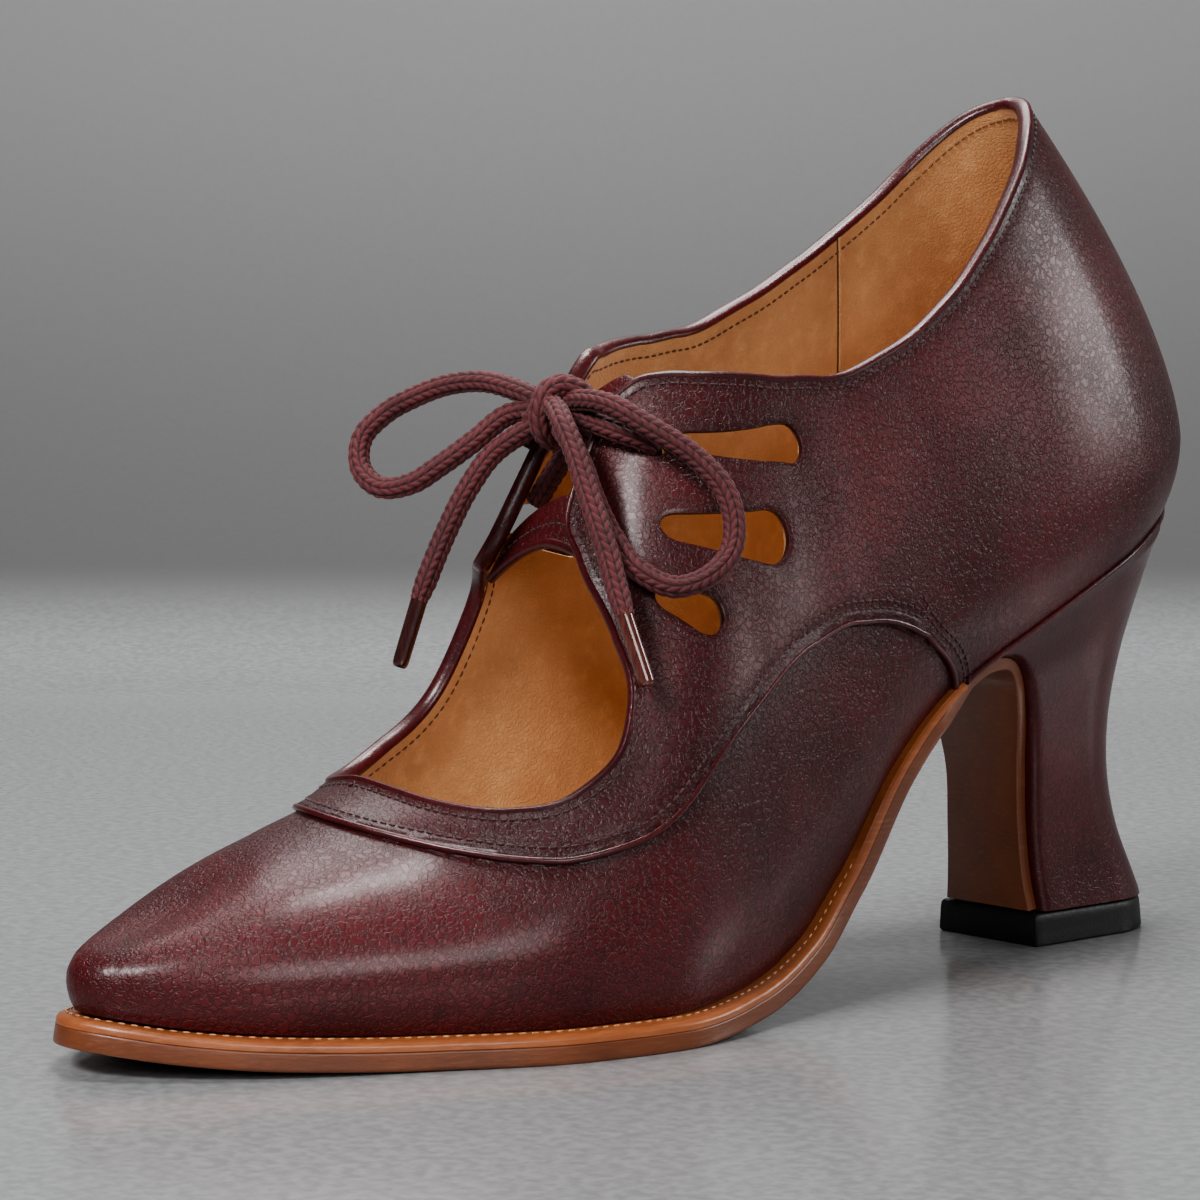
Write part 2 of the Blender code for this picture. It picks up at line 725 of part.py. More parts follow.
def make_top_lift():
    rows = [
        heel_section((LIFT_FRONT, 0), (LIFT_BACK, 0), LIFT_HALF),
        heel_section((LIFT_FRONT, LIFT_HEIGHT), (LIFT_BACK + LIFT_FLARE, LIFT_HEIGHT), LIFT_HALF - 0.2),
    ]
    return stack("top_lift", rows, False, black_rubber)


def make_bar(name, bar):
    """Strap across the throat: a strip of the last's own surface, under the wall of the facings."""
    first, last, low, crown = bar
    along = np.linspace(first, last, 4)
    ups = np.concatenate((np.linspace(low, 1, 8), np.linspace(1, low, 8)[1:]))
    sides = np.array([1] * 8 + [-1] * 7)
    layers = []
    for depth in (WALL + 1.5 * GAP, WALL + 1.5 * GAP + BAR_THICK):
        grid = []
        for a in along:
            strip = [rib(a, u, s) - last_normal(a, min(u, 0.985), s) * depth for u, s in zip(ups, sides)]
            ridge_in = strip[7]
            ridge_in[0] = (strip[6][0] + strip[8][0]) / 2
            strip = np.array(strip)
            strip[:, 2] = strip[0, 2] + (strip[:, 2] - strip[0, 2]) * crown
            grid.append(strip)
        layers.append(np.array(grid))
    rows, columns = layers[0].shape[:2]
    count = rows * columns
    faces = []
    for r in range(rows - 1):
        for c in range(columns - 1):
            quad = [r * columns + c, r * columns + c + 1, (r + 1) * columns + c + 1, (r + 1) * columns + c]
            faces.append(quad)
            faces.append([i + count for i in reversed(quad)])
    ring = [c for c in range(columns)]
    ring += [r * columns + columns - 1 for r in range(1, rows)]
    ring += [(rows - 1) * columns + c for c in range(columns - 2, -1, -1)]
    ring += [r * columns for r in range(rows - 2, 0, -1)]
    for a, b in zip(ring, ring[1:] + ring[:1]):
        faces.append((a, b, b + count, a + count))
    points = np.concatenate([layer.reshape(-1, 3) for layer in layers])
    return solid(name, points, faces, burgundy)


def make_crossing():
    """The lace's two legs where they cross in the throat, joined, just under the facings."""
    depth = WALL + GAP + LACE / 2 + 0.2
    legs = []
    for side in (1, -1):
        low_across, low_along = CROSSING_LOW
        high_across, high_along = CROSSING_HIGH
        route = []
        for share in np.linspace(0, 1, 9):
            along = low_along + (high_along - low_along) * share
            across = side * (low_across + (-high_across - low_across) * share)
            here = 1 if across >= 0 else -1
            half = math.sqrt(half_squared[here](along))
            turn = math.acos(min(abs(across) / half, 1) ** (full_across(along) / 2))
            up = BELLY_UP + (1 - BELLY_UP) * turn / (math.pi / 2)
            up = min(up, 0.97)
            route.append(rib(along, up, here) - last_normal(along, up, here) * depth)
        legs.append(tube("lace_crossing", route, LACE, lace_red))
    meshes = []
    graph = bpy.context.evaluated_depsgraph_get()
    for leg in legs:
        mesh = bpy.data.meshes.new_from_object(leg.evaluated_get(graph))
        work = bmesh.new()
        work.from_mesh(mesh)
        bmesh.ops.remove_doubles(work, verts=work.verts, dist=1e-6)
        bmesh.ops.recalc_face_normals(work, faces=work.faces)
        work.to_mesh(mesh)
        work.free()
        meshes.append(mesh)
        bpy.data.objects.remove(leg)
    first = bpy.data.objects.new("lace_crossing", meshes[0])
    shoe.objects.link(first)
    second = bpy.data.objects.new("lace_crossing_leg", meshes[1])
    second.hide_render = True
    second.display_type = "WIRE"
    cutters.objects.link(second)
    join = first.modifiers.new("join", "BOOLEAN")
    join.operation = "UNION"
    join.object = second
    return first


def make_knot():
    bpy.ops.mesh.primitive_uv_sphere_add(segments=14, ring_count=9, radius=1)
    knot = bpy.context.object
    knot.name = "lace_knot"
    knot.data.name = "lace_knot"
    for collection in knot.users_collection:
        collection.objects.unlink(knot)
    shoe.objects.link(knot)
    knot.scale = np.array(KNOT_HALF) * MM
    knot.rotation_euler = (math.radians(KNOT_TILT), 0, 0)
    knot.location = world(KNOT)
    knot.data.materials.append(lace_red)
    knot.data.shade_smooth()
    return knot


for old in list(bpy.data.objects):
    bpy.data.objects.remove(old)

shoe = bpy.data.collections.new("heeled_lace_up_shoe")
cutters = bpy.data.collections.new("cutters")
for collection in (shoe, cutters):
    bpy.context.scene.collection.children.link(collection)

burgundy = leather("upper_leather", (0.085, 0.018, 0.022), 0.38)
heel_leather = leather("heel_cover_leather", (0.095, 0.020, 0.022), 0.34)
tan = leather("lining_leather", (0.48, 0.22, 0.07), 0.62)
welt_tan = leather("welt_leather", (0.36, 0.12, 0.035), 0.42)
sole_brown = leather("sole_leather", (0.33, 0.11, 0.035), 0.42)
black_rubber = leather("lift_rubber", (0.012, 0.012, 0.013), 0.45)
lace_red = leather("lace_cord", (0.115, 0.022, 0.024), 0.78)
aglet_plastic = leather("aglet_plastic", (0.10, 0.025, 0.02), 0.22)

make_upper()
make_insole()
make_welt()
make_outsole()
make_heel()
make_top_lift()
make_bar("tongue_bar_lower", LOWER_BAR)
make_bar("tongue_bar_upper", UPPER_BAR)
make_crossing()
make_knot()
tube("lace_run_outer", OUTER_RUN, LACE, lace_red)
tube("lace_run_inner", INNER_RUN, LACE, lace_red)
tube("lace_loop_outer", OUTER_LOOP, LACE, lace_red)
tube("lace_loop_inner", INNER_LOOP, LACE, lace_red)
tube("lace_end_outer", OUTER_END, LACE, lace_red)
tube("lace_end_inner", INNER_END, LACE, lace_red)
tube("aglet_outer", OUTER_AGLET, AGLET, aglet_plastic)
tube("aglet_inner", INNER_AGLET, AGLET, aglet_plastic)
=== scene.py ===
"""Heeled lace-up shoe for the left foot, dressed piece by piece in the order that it is made.

Sizes are in millimetres on the last: "across" is positive on the outer side, "along" runs from the back of
the heel to the toe, and "height" is above the floor. Meshes are in metres, with the toe toward -Y.
"""

import math

import bmesh
import bpy
import numpy as np
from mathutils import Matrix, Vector
from mathutils.geometry import delaunay_2d_cdt
from mathutils.kdtree import KDTree

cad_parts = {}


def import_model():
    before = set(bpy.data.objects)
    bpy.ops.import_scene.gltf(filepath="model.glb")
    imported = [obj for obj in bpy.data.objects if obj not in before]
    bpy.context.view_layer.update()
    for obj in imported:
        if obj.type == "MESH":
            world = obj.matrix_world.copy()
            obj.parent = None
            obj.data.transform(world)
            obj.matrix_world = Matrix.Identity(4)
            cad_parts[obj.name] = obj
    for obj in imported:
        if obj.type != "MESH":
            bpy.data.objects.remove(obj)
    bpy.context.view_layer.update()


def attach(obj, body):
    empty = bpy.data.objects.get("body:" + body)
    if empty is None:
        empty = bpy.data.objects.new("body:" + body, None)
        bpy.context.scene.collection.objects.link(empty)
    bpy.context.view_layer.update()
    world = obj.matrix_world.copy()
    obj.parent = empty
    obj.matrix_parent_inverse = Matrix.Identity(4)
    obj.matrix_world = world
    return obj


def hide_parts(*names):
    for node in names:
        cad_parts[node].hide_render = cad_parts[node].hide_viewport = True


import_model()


# Insole: a board covered in tan lining leather, cut to the floor of the last. The upper is pulled round it,
# so the last's own form is set out here: its plan, feather edge, instep ridge and the lean of its ribs.
LENGTH = 222.0
BELLY_UP = 0.18
MIDDLE = (0.32, 111.5, 0)
MM = 0.001
GAP = 0.3
TOE_FALL = 1

OUTLINE = np.array([
    # along, centre, outer, inner
    (0, 0, 0, 0),
    (6, 0, 14, 14),
    (15, 0, 20.5, 20.5),
    (30, 0, 25.5, 25),
    (50, 0, 27, 25.5),
    (75, 0, 27, 24),
    (100, 0, 29.5, 26),
    (120, 0, 33, 30),
    (143, -0.5, 37, 34),
    (158, -1.5, 36, 34.5),
    (180, -4, 29, 28.5),
    (200, -6.3, 21, 20.5),
    (212, -7.5, 13.5, 13.5),
    (219, -8, 7, 7),
    (LENGTH, -8, 0, 0),
])
FEATHER = np.array([
    # along, height, tuck, belly rise
    (0, 79, 4, 12),
    (30, 67.5, 4, 14),
    (50, 58.5, 4.5, 17),
    (69, 48.5, 5, 20),
    (83, 36.5, 5, 22),
    (98, 20, 5, 22),
    (110, 11.5, 4, 19),
    (125, 6.5, 3, 15),
    (143, 4.8, 2.5, 12),
    (160, 4.8, 2.5, 10),
    (180, 5, 2.2, 8.5),
    (200, 5.8, 1.8, 6.5),
    (212, 7, 1.4, 5.2),
    (LENGTH, 8.8, 1.2, 4.2),
])
RIDGE = np.array([
    # along, height, fullness up, fullness across, shift to the inner side
    (69, 184.8, 1.5, 0.94, 0),
    (84, 168, 1.45, 1.15, 0),
    (100, 146, 1.6, 1.2, 0),
    (120, 117, 1.8, 1.45, 0),
    (129.5, 102, 1.85, 1.6, 0),
    (135, 91, 1.85, 1.68, 0),
    (142, 76.5, 1.85, 1.7, 1),
    (150, 63.2, 1.85, 1.6, 2.4),
    (160, 47.8, 1.85, 1.6, 4.4),
    (172, 36.9, 1.85, 1.76, 6.3),
    (181, 33.5, 1.9, 1.86, 5.4),
    (190, 30.1, 1.95, 2, 4.5),
    (198, 25.6, 2, 2, 2.2),
    (206, 20.0, 2, 2, 1),
])
LEAN = np.array([
    # foot of the rib, top of the rib
    (0, 71.3),
    (40, 81),
    (110, 110),
    (150, 150),
    (190, 182),
    (LENGTH, 198),
])
WALL = 1.8
INSOLE = 2.2
INSOLE_INSET = WALL + GAP + 0.2


def smooth(xs, ys):
    """Monotone cubic through a table's rows: no bump that the rows don't have."""
    xs = np.asarray(xs, float)
    ys = np.asarray(ys, float)
    step = np.diff(xs)
    rise = np.diff(ys) / step
    before, after = rise[:-1], rise[1:]
    same = before * after > 0
    weight_before = 2 * step[1:] + step[:-1]
    weight_after = step[1:] + 2 * step[:-1]
    mean = (weight_before + weight_after) / (
        weight_before / np.where(same, before, 1) + weight_after / np.where(same, after, 1))
    slope = np.concatenate((rise[:1], np.where(same, mean, 0), rise[-1:]))

    def value(x):
        x = np.clip(x, xs[0], xs[-1])
        i = np.clip(np.searchsorted(xs, x) - 1, 0, len(step) - 1)
        u = (x - xs[i]) / step[i]
        low = ys[i] * (1 + 2 * u) + step[i] * slope[i] * u
        high = ys[i + 1] * (3 - 2 * u) - step[i] * slope[i + 1] * (1 - u)
        return low * (1 - u) ** 2 + high * u ** 2

    return value


def through(points, spacing):
    """Smooth curve through points of any dimension, sampled about evenly."""
    points = np.asarray(points, float)
    chord = np.concatenate(([0], np.cumsum(np.linalg.norm(np.diff(points, axis=0), axis=1))))
    slope = np.gradient(points, chord, axis=0)
    x = np.linspace(0, chord[-1], max(3, round(chord[-1] / spacing) + 1))
    i = np.clip(np.searchsorted(chord, x) - 1, 0, len(points) - 2)
    step = (chord[i + 1] - chord[i])[:, None]
    u = (x - chord[i])[:, None] / step
    low = points[i] * (1 + 2 * u) + step * slope[i] * u
    high = points[i + 1] * (3 - 2 * u) - step * slope[i + 1] * (1 - u)
    return low * (1 - u) ** 2 + high * u ** 2


def unit(vectors):
    return vectors / np.linalg.norm(vectors, axis=-1, keepdims=True)


centre_at = smooth(OUTLINE[:, 0], OUTLINE[:, 1])
half_squared = {
    1: smooth(OUTLINE[:, 0], OUTLINE[:, 2] ** 2),
    -1: smooth(OUTLINE[:, 0], OUTLINE[:, 3] ** 2),
}
feather_height = smooth(FEATHER[:, 0], FEATHER[:, 1])
tuck_at = smooth(FEATHER[:, 0], FEATHER[:, 2])
belly_rise = smooth(FEATHER[:, 0], FEATHER[:, 3])
ridge_height = smooth(RIDGE[:, 0], RIDGE[:, 1])
full_up = smooth(RIDGE[:, 0], RIDGE[:, 2])
full_across = smooth(RIDGE[:, 0], RIDGE[:, 3])
ridge_shift = smooth(RIDGE[:, 0], RIDGE[:, 4])
rib_top = smooth(LEAN[:, 0], LEAN[:, 1])


def rib(along, up, side):
    """Point of the last on the rib that starts at "along", a share "up" of the way to the ridge."""
    along = np.asarray(along, float)
    up = np.asarray(up, float)
    top = rib_top(along)
    across_foot = centre_at(along) + side * np.sqrt(np.maximum(half_squared[side](along), 0))
    across_top = centre_at(top) - ridge_shift(top)
    low = np.clip(up / BELLY_UP, 0, 1)
    turn = np.clip((up - BELLY_UP) / (1 - BELLY_UP), 0, 1) * math.pi / 2
    spread = np.maximum(np.cos(turn), 0) ** (2 / full_across(top))
    belly = feather_height(along) + belly_rise(along)
    rise = np.sin(turn) ** (2 / full_up(top))
    height = feather_height(along) + belly_rise(along) * low + (ridge_height(top) - belly) * rise
    ridge_slope = ridge_height(top + 0.5) - ridge_height(top - 0.5)
    height = height + ridge_slope * np.maximum(along - top, 0) * spread * (1 - spread) ** TOE_FALL
    reach = np.hypot(across_foot - across_top, along - top)
    spread = spread - tuck_at(along) * (1 - low) ** 2 / reach
    across = across_top + (across_foot - across_top) * spread
    forward = top + (along - top) * spread
    return np.stack(np.broadcast_arrays(across, forward, height), -1)


def last_normal(along, up, side):
    """Outward normal of the last."""
    small = 0.02
    forward = rib(along + small, up, side) - rib(along - small, up, side)
    upward = rib(along, up + small / 100, side) - rib(along, up - small / 100, side)
    return unit(np.cross(forward, upward) * side)


def floor_normal(along):
    """Direction at a right angle to the last's floor, downward, as (along, height)."""
    small = 0.5
    ahead = np.clip(along + small, 0, LENGTH)
    behind = np.clip(along - small, 0, LENGTH)
    run = unit(sum(rib(ahead, 0, side) - rib(behind, 0, side) for side in (1, -1))[:, 1:])
    return np.stack((run[:, 1], -run[:, 0]), -1)


def feather_row(along, offset, depth):
    """Rows of points beside the feather edge, outer side and inner side: offset outward in plan, and sunk
    below the last's floor."""
    along = np.asarray(along, float)
    turn = np.arccos(1 - 2 * along / LENGTH) / math.pi
    small = 1e-4
    before = LENGTH * (1 - np.cos(math.pi * np.clip(turn - small, 0, 1))) / 2
    after = LENGTH * (1 - np.cos(math.pi * np.clip(turn + small, 0, 1))) / 2
    down = floor_normal(along)
    rows = []
    for side in (1, -1):
        here = rib(along, 0, side)
        run = unit((rib(after, 0, side) - rib(before, 0, side))[:, :2])
        outward = np.stack((run[:, 1], -run[:, 0]), -1) * side
        here[:, :2] += outward * np.broadcast_to(offset, along.shape)[:, None]
        here[:, 1:] += down * np.broadcast_to(depth, along.shape)[:, None]
        rows.append(here)
    return rows


def ribs_between(first, last, count):
    """Feet of ribs, closer together toward the rounded ends of the last."""
    turn = np.arccos(1 - 2 * np.array((first, last)) / LENGTH)
    return LENGTH * (1 - np.cos(np.linspace(turn[0], turn[1], count))) / 2


def around(outer, inner):
    """One outline from two sides that share their last point."""
    return np.concatenate((outer, inner[-2::-1]))


def world(points):
    """From (across, along, height) in millimetres to metres, toe toward -Y."""
    return (np.asarray(points, float) - MIDDLE) * (MM, -MM, MM)


def piece(name, points, faces, material, slot, nodes=(), sharp=40):
    """Closed mesh from points in millimetres, faces outward, that rides on the shoe's one body."""
    mesh = bpy.data.meshes.new(name)
    mesh.from_pydata(world(points).tolist(), [], [list(face) for face in faces])
    work = bmesh.new()
    work.from_mesh(mesh)
    bmesh.ops.recalc_face_normals(work, faces=work.faces)
    work.to_mesh(mesh)
    work.free()
    mesh.materials.append(material)
    mesh.shade_smooth()
    mesh.set_sharp_from_angle(angle=math.radians(sharp))
    obj = bpy.data.objects.new(name, mesh)
    bpy.context.scene.collection.objects.link(obj)
    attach(obj, "root")
    if nodes:
        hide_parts(*nodes)
    return obj


def layered(rows, closed):
    """Points and faces of a plate from outlines laid one on another. Each outline runs up one side and back
    down the other, so that its sides pair off into the rungs of the first and last faces."""
    count = len(rows[0])
    last = count if closed else count - 1
    faces = []
    for row in range(len(rows) - 1):
        base = row * count
        for i in range(count):
            j = (i + 1) % count
            faces.append((base + i, base + j, base + count + j, base + count + i))
    for base in (0, (len(rows) - 1) * count):
        for i in range(last // 2):
            rung = [i, i + 1, last - i - 1, (last - i) % count]
            faces.append([base + k for k in dict.fromkeys(rung)])
    return np.concatenate(rows), faces


class Signal:
    """Output of a shader node. Arithmetic on signals adds Math nodes to their tree."""

    def __init__(self, tree, output=None):
        self.tree = tree
        self.output = output

    def node(self, kind, settings=None, sockets=None, output=0):
        made = self.tree.nodes.new("ShaderNode" + kind)
        for key, value in (settings or {}).items():
            setattr(made, key, value)
        for key, value in (sockets or {}).items():
            if isinstance(value, Signal):
                self.tree.links.new(value.output, made.inputs[key])
            else:
                made.inputs[key].default_value = value
        return Signal(self.tree, made.outputs[output])

    def math(self, operation, *values):
        return self.node("Math", {"operation": operation}, dict(enumerate(values)))

    def __add__(self, other):
        return self.math("ADD", self, other)

    __radd__ = __add__

    def __sub__(self, other):
        return self.math("SUBTRACT", self, other)

    def __rsub__(self, other):
        return self.math("SUBTRACT", other, self)

    def __mul__(self, other):
        return self.math("MULTIPLY", self, other)

    __rmul__ = __mul__

    def between(self, low, high):
        """0 below the low value, 1 above the high one, and an eased step between."""
        span = {"Value": self, "From Min": low, "From Max": high}
        return self.node("MapRange", {"interpolation_type": "SMOOTHSTEP"}, span)

    def mix(self, first, second):
        """Colour between two others, by this signal."""
        first, second = ((*c, 1) if isinstance(c, tuple) else c for c in (first, second))
        return self.node("Mix", {"data_type": "RGBA"}, {0: self, 6: first, 7: second}, 2)


def finish(name, **constants):
    """New material, its shader with constant sockets set, and its Object coordinates."""
    material = bpy.data.materials.new(name)
    material.use_nodes = True
    shader = material.node_tree.nodes["Principled BSDF"]
    for key, value in constants.items():
        shader.inputs[key.replace("_", " ").title().replace("Ior", "IOR")].default_value = value
    place = Signal(material.node_tree).node("TexCoord", output="Object")
    return material, shader, place


def join(signal, shader, socket):
    signal.tree.links.new(signal.output, shader.inputs[socket])


def noise(place, size, detail=3.0):
    """Soft noise about 0.5, with features of a size in millimetres."""
    sockets = {"Vector": place, "Scale": 1 / (size * MM), "Detail": detail}
    return place.node("TexNoise", None, sockets, "Fac")


def crackle(place, size, drift):
    """Leather grain: 0 in the fine creases, 1 on the plump cells between them."""
    sockets = {"Vector": place, "Scale": 1 / (size * 0.7 * MM), "Detail": 2.0}
    bend = place.node("TexNoise", None, sockets, "Color")
    push = (drift * MM,) * 3
    bent = place.node("VectorMath", {"operation": "MULTIPLY_ADD"}, {0: bend, 1: push, 2: place})
    settings = {"feature": "DISTANCE_TO_EDGE"}
    cells = place.node("TexVoronoi", settings, {"Vector": bent, "Scale": 1 / (size * MM)})
    return cells.between(0.0, 0.22)


def bump(place, height, depth):
    """Normal for a height of 0 to 1 that stands for a depth in millimetres."""
    return place.node("Bump", None, {"Height": height, "Strength": 1.0, "Distance": depth * MM})


def tan_leather(name, deep, plain, pale, nap):
    """Vegetable-tanned lining leather: mottled tan, nearly matt, with a short nap."""
    material, shader, place = finish(name, roughness=0.6, sheen_weight=nap, sheen_roughness=0.5)
    clouds = noise(place, 16, 5.0)
    streaks = noise(place, 3.2, 4.0)
    tone = clouds.between(0.32, 0.68).mix(deep, plain)
    tone = (streaks.between(0.45, 0.8) * 0.55).mix(tone, pale)
    grain = crackle(place, 0.9, 0.9)
    tone = ((1 - grain) * 0.18).mix(tone, deep)
    join(tone, shader, "Base Color")
    join(0.52 + clouds * 0.22, shader, "Roughness")
    join(bump(place, grain * 0.5 + streaks * 0.8 + noise(place, 0.25) * 0.5, 0.1), shader, "Normal")
    return material


lining_leather = tan_leather("lining_tan", (0.56, 0.29, 0.13), (0.70, 0.39, 0.185), (0.84, 0.52, 0.27), 0.2)

insole_ribs = ribs_between(0, LENGTH, 110)
insole_rows = []
for inset, depth in ((0.4, -GAP), (0, -GAP - 0.4), (0, -GAP - INSOLE + 0.5), (0.5, -GAP - INSOLE)):
    outer_row, inner_row = feather_row(insole_ribs, -INSOLE_INSET - inset, depth)
    insole_rows.append(np.concatenate((outer_row, inner_row[-2:0:-1])))
piece("insole_board", *layered(insole_rows, True), lining_leather, "lining_leather", ["insole"])


# Upper: burgundy leather cut as vamp and quarters, closed into one wall over the last. The quarters lie on
# the vamp with a turned edge. Three drop-shaped cut-outs are punched through the outer side and two through
# the inner side, and each side has one eyelet.
TOPLINE = np.array([
    # along, outer up, inner up
    (0, 0.585, 0.585),
    (9, 0.581, 0.579),
    (18, 0.571, 0.569),
    (27, 0.557, 0.557),
    (38, 0.538, 0.545),
    (50, 0.515, 0.536),
    (63, 0.492, 0.530),
    (77, 0.485, 0.535),
    (89, 0.509, 0.560),
    (101, 0.559, 0.605),
    (112, 0.618, 0.660),
    (121, 0.698, 0.736),
    (126.5, 0.777, 0.806),
    (130, 0.842, 0.828),
])
THROAT = np.array([
    # outer along, outer up, inner along, inner up
    (133, 0.882, 133, 0.812),
    (136, 0.893, 136, 0.795),
    (139, 0.885, 139.4, 0.775),
    (141.7, 0.794, 140.4, 0.735),
    (142.8, 0.645, 138, 0.645),
    (144, 0.552, 135.8, 0.548),
    (147.7, 0.506, 139.8, 0.483),
    (155, 0.515, 151.5, 0.503),
    (162.4, 0.583, 161, 0.585),
    (169, 0.725, 168.6, 0.730),
    (171.8, 0.880, 171.6, 0.880),
    (172.6, 1, 172.6, 1),
])
SEAM = np.array([
    # outer along, up, inner along
    (185, 1, 185),
    (184, 0.913, 182.6),
    (181, 0.796, 178.2),
    (175.8, 0.671, 172.4),
    (170.5, 0.567, 167),
    (165.3, 0.485, 162),
    (159.1, 0.421, 156.6),
    (149.9, 0.371, 149),
    (132.4, 0.362, 132),
    (109, 0.355, 109),
    (98, 0.320, 98),
    (93, 0.293, 93),
    (88.5, 0.256, 88.5),
    (85.5, 0.223, 85.5),
    (81.5, 0.163, 81.5),
    (75, 0.085, 75),
    (68.2, 0, 68.2),
])
TEARDROPS = np.array([
    # along, height, radius, front along, front height, front radius
    (107.6, 89.7, 3.15, 126.0, 90.9, 1.6),
    (115.6, 75.8, 4.3, 131.5, 77.8, 2.2),
    (130.9, 64.6, 3.1, 134.9, 66.9, 2.3),
])
INNER_TEARDROPS = 2
EYELET = (131.2, 90.2, 1.7)
QUARTER_RAISE = 0.6
VAMP_RAISE = -0.4
STEP_RUN = 0.45
STITCH_INSET = 1.85
STITCH_TROUGH = 0.13
HOLE_TURN = 0.25
HOLE_ROUND = 0.8
UPPER_DEPTH = 0.95
HOLE_BEVEL = 0.55
UPPER_SPACING = 1.7
TOE_SOFT_REACH = 7.0
TOE_SOFT_STEPS = 10
TOE_SOFT_MOST = 0.3
DEEP_RED = (0.012, 0.0022, 0.0026)
PLAIN_RED = (0.056, 0.0056, 0.0074)
BRIGHT_RED = (0.100, 0.0088, 0.0112)
CHART_LENGTH = LENGTH * math.pi / 2
CHART_HEIGHT = 100.0


def up_at(along, height):
    """Share of the way up the rib at a height, above the belly."""
    top = rib_top(along)
    belly = feather_height(along) + belly_rise(along)
    share = np.clip((height - belly) / (ridge_height(top) - belly), 0, 1)
    return BELLY_UP + (1 - BELLY_UP) * np.arcsin(share ** (full_up(top) / 2)) / (math.pi / 2)


def chart(along, up):
    """Flat chart of one side of the last, rib by rib and nearly to scale, where the pattern is drawn."""
    turn = np.arccos(1 - 2 * np.clip(np.asarray(along, float) / LENGTH, 0, 1)) / math.pi
    return np.stack((turn * CHART_LENGTH, np.asarray(up, float) * CHART_HEIGHT), -1)


def chart_along(line):
    return LENGTH * (1 - np.cos(math.pi * line[:, 0] / CHART_LENGTH)) / 2


def chart_place(line, side):
    """Points of the chart laid on the last."""
    return rib(chart_along(line), line[:, 1] / CHART_HEIGHT, side)


def chart_normal(line, side):
    return last_normal(chart_along(line), line[:, 1] / CHART_HEIGHT, side)


def length_along(points):
    return np.concatenate(([0], np.cumsum(np.linalg.norm(np.diff(points, axis=0), axis=1))))


def evenly(line, side, spacing):
    """Line on the chart, sampled an even distance apart on the last."""
    parts = [np.linspace(a, b, 12, endpoint=False) for a, b in zip(line[:-1], line[1:])]
    dense = np.concatenate(parts + [line[-1:]])
    run = length_along(chart_place(dense, side))
    at = np.linspace(0, run[-1], max(2, round(run[-1] / spacing) + 1))
    return np.stack([np.interp(at, run, dense[:, k]) for k in (0, 1)], -1)


def beside(line, side, distance, closed=False):
    """Line on the chart moved sideways by a distance on the last, to the left of its run."""
    small = 0.05
    middle = np.clip(line, small, (CHART_LENGTH - small, CHART_HEIGHT - small))
    right = chart_place(middle + (small, 0), side) - chart_place(middle - (small, 0), side)
    upward = chart_place(middle + (0, small), side) - chart_place(middle - (0, small), side)
    pairs = ((right, right), (right, upward), (upward, upward))
    xx, xy, yy = ((a * b).sum(1) / (2 * small) ** 2 for a, b in pairs)
    run = np.roll(line, -1, axis=0) - np.roll(line, 1, axis=0) if closed else np.gradient(line, axis=0)
    away = np.stack((-xy * run[:, 0] - yy * run[:, 1], xx * run[:, 0] + xy * run[:, 1]), -1)
    size = np.sqrt(xx * away[:, 0] ** 2 + 2 * xy * away[:, 0] * away[:, 1] + yy * away[:, 1] ** 2)
    return line + away / size[:, None] * distance


def inside(points, polygon):
    """Which points of the chart lie in a polygon (even-odd rule)."""
    found = np.zeros(len(points), bool)
    for (ax, ay), (bx, by) in zip(polygon, np.roll(polygon, -1, axis=0)):
        crosses = (ay > points[:, 1]) != (by > points[:, 1])
        where = ax + (points[:, 1] - ay) * (bx - ax) / np.where(by == ay, 1, by - ay)
        found ^= crosses & (points[:, 0] < where)
    return found


def distances(points, targets):
    """Distance of each point from the nearest target."""
    tree = KDTree(len(targets))
    for i, target in enumerate(targets):
        tree.insert(target, i)
    tree.balance()
    return np.array([tree.find(point)[2] for point in points])


def edge_line(side):
    """Topline and throat in one line on the chart, from the back of the collar to the ridge."""
    ups = TOPLINE[:, 1] if side > 0 else TOPLINE[:, 2]
    throat = THROAT[:, :2] if side > 0 else THROAT[:, 2:]
    line = through(np.concatenate((chart(TOPLINE[:, 0], ups), chart(throat[:, 0], throat[:, 1]))), 1.0)
    line[:, 1] = np.minimum(line[:, 1], CHART_HEIGHT)
    return line


def edge_beside(side, distance):
    """The edge moved into the leather: its ends stay on the back of the heel and on the ridge."""
    line = beside(edge_line(side), side, -distance)
    line[0, 0] = 0
    line[-1] = (line[-1, 0], CHART_HEIGHT)
    return line


def seam_beside(side, distance):
    """Edge of the quarters moved into the vamp, or onto the quarters where the distance is negative. On the
    ridge its place is the same from both sides, and below it runs out on the feather edge."""
    seam = through(chart(SEAM[:, 0] if side > 0 else SEAM[:, 2], SEAM[:, 1]), 1.0)
    ridge = chart_place(seam[:1] + np.array([(-0.5, 0), (0.5, 0)]), 1)
    line = beside(seam, side, distance)
    line[0] = seam[0] + (distance / np.linalg.norm(ridge[1] - ridge[0]), 0)
    line = line[(line[:, 1] > 0) | (np.arange(len(line)) == 0)]
    run = line[-1] - line[-2]
    foot = line[-1] - run * line[-1, 1] / run[1]
    return np.vstack((line, foot))


